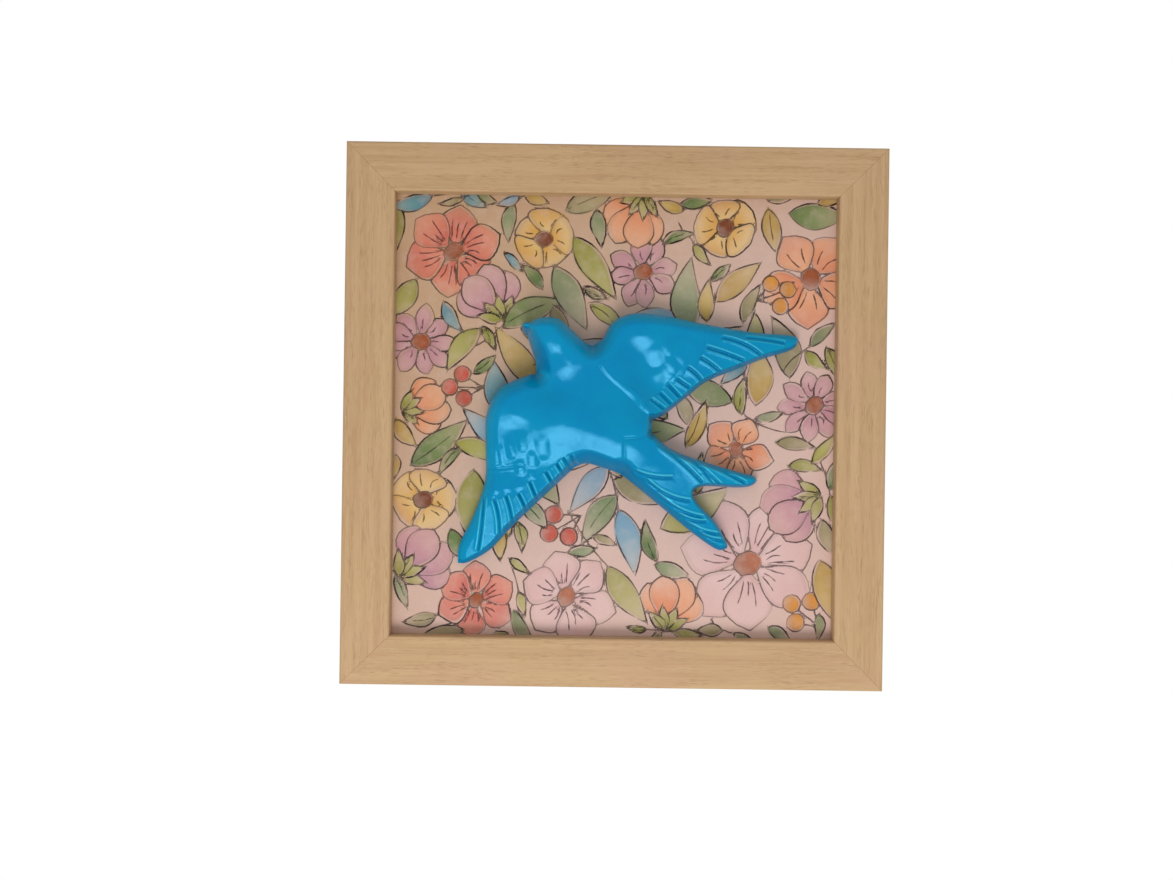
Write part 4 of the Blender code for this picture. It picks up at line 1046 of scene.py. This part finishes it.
def studio():
    """Camera, soft light and pale floor. The camera sees the surroundings as plain white paper."""
    scene = bpy.context.scene
    scene.view_settings.view_transform = "Standard"
    lens = bpy.data.cameras.new("camera")
    lens.lens = CAMERA_LENS
    lens.sensor_width = SENSOR_WIDTH
    camera = bpy.data.objects.new("camera", lens)
    camera.location = (CAMERA_ACROSS, FRONT_Y - CAMERA_AWAY, MIDDLE_Z + CAMERA_UP)
    camera.rotation_euler = (math.pi / 2, math.radians(CAMERA_ROLL), 0)
    scene.collection.objects.link(camera)
    scene.camera = camera

    world = bpy.data.worlds.new("studio")
    world.use_nodes = True
    scene.world = world
    nodes, links = world.node_tree.nodes, world.node_tree.links
    paper = nodes["Background"]
    paper.inputs["Color"].default_value = WHITE
    room = nodes.new("ShaderNodeBackground")
    room.inputs["Color"].default_value = WHITE
    room.inputs["Strength"].default_value = ROOM_LIGHT
    rays = nodes.new("ShaderNodeLightPath")
    either = nodes.new("ShaderNodeMixShader")
    links.new(rays.outputs["Is Camera Ray"], either.inputs[0])
    links.new(room.outputs[0], either.inputs[1])
    links.new(paper.outputs[0], either.inputs[2])
    links.new(either.outputs[0], nodes["World Output"].inputs["Surface"])

    for name, place, width, height, power in LAMPS:
        area_light(name, place, (0, 0, MIDDLE_Z), width, height, power)

    floor_finish = Finish("floor_paper", Roughness=0.9)
    tone = floor_finish.noise(0.3, 2.0, 0.5).rise(0.3, 0.7)
    painted = floor_finish.blend(paint(238, 237, 235), paint(232, 231, 229), tone)
    floor = np.hstack([FLOOR_CORNERS, np.full((4, 1), FLOOR_Z)])
    add_piece("floor", floor, [[0, 1, 2, 3]], floor_finish.give(Base_Color=painted))


FRONT_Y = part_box("frame_rail_top")[0].y
RAIL_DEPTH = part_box("frame_rail_top")[1].y - FRONT_Y
MIDDLE_Z = (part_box("frame_rail_top")[1].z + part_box("frame_rail_bottom")[0].z) / 2
SIGHT_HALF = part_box("frame_rail_top")[1].z - MIDDLE_Z - RAIL_FACE_WIDTH

studio()

pieces = [(swallow(swallow_glaze()), "swallow", "swallow_glaze"), (tile(tile_glaze()), "tile", "tile_glaze")]
for quarter, (side, shift) in enumerate(GRAIN_SHIFTS.items()):
    rail = frame_rail(side, quarter, wood(f"wood_{side}", quarter % 2 == 1, shift))
    pieces.append((rail, f"frame_rail_{side}", "frame_wood"))
for piece, node, slot in pieces:
    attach(piece, "root")
    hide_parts(node)

steel = metal("pin_steel", (0.52, 0.51, 0.48, 1.0), 0.35, 8)
finishes = {
    "back_board": hardboard(),
    "hanger": metal("hanger_brass", (0.72, 0.53, 0.26, 1.0), 0.3, 12),
}
for name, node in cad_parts.items():
    if name.startswith(("board_pin", "hanger_nail")):
        finishes[name] = steel
for name, finish in finishes.items():
    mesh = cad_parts[name].data
    mesh.materials.clear()
    mesh.materials.append(finish)
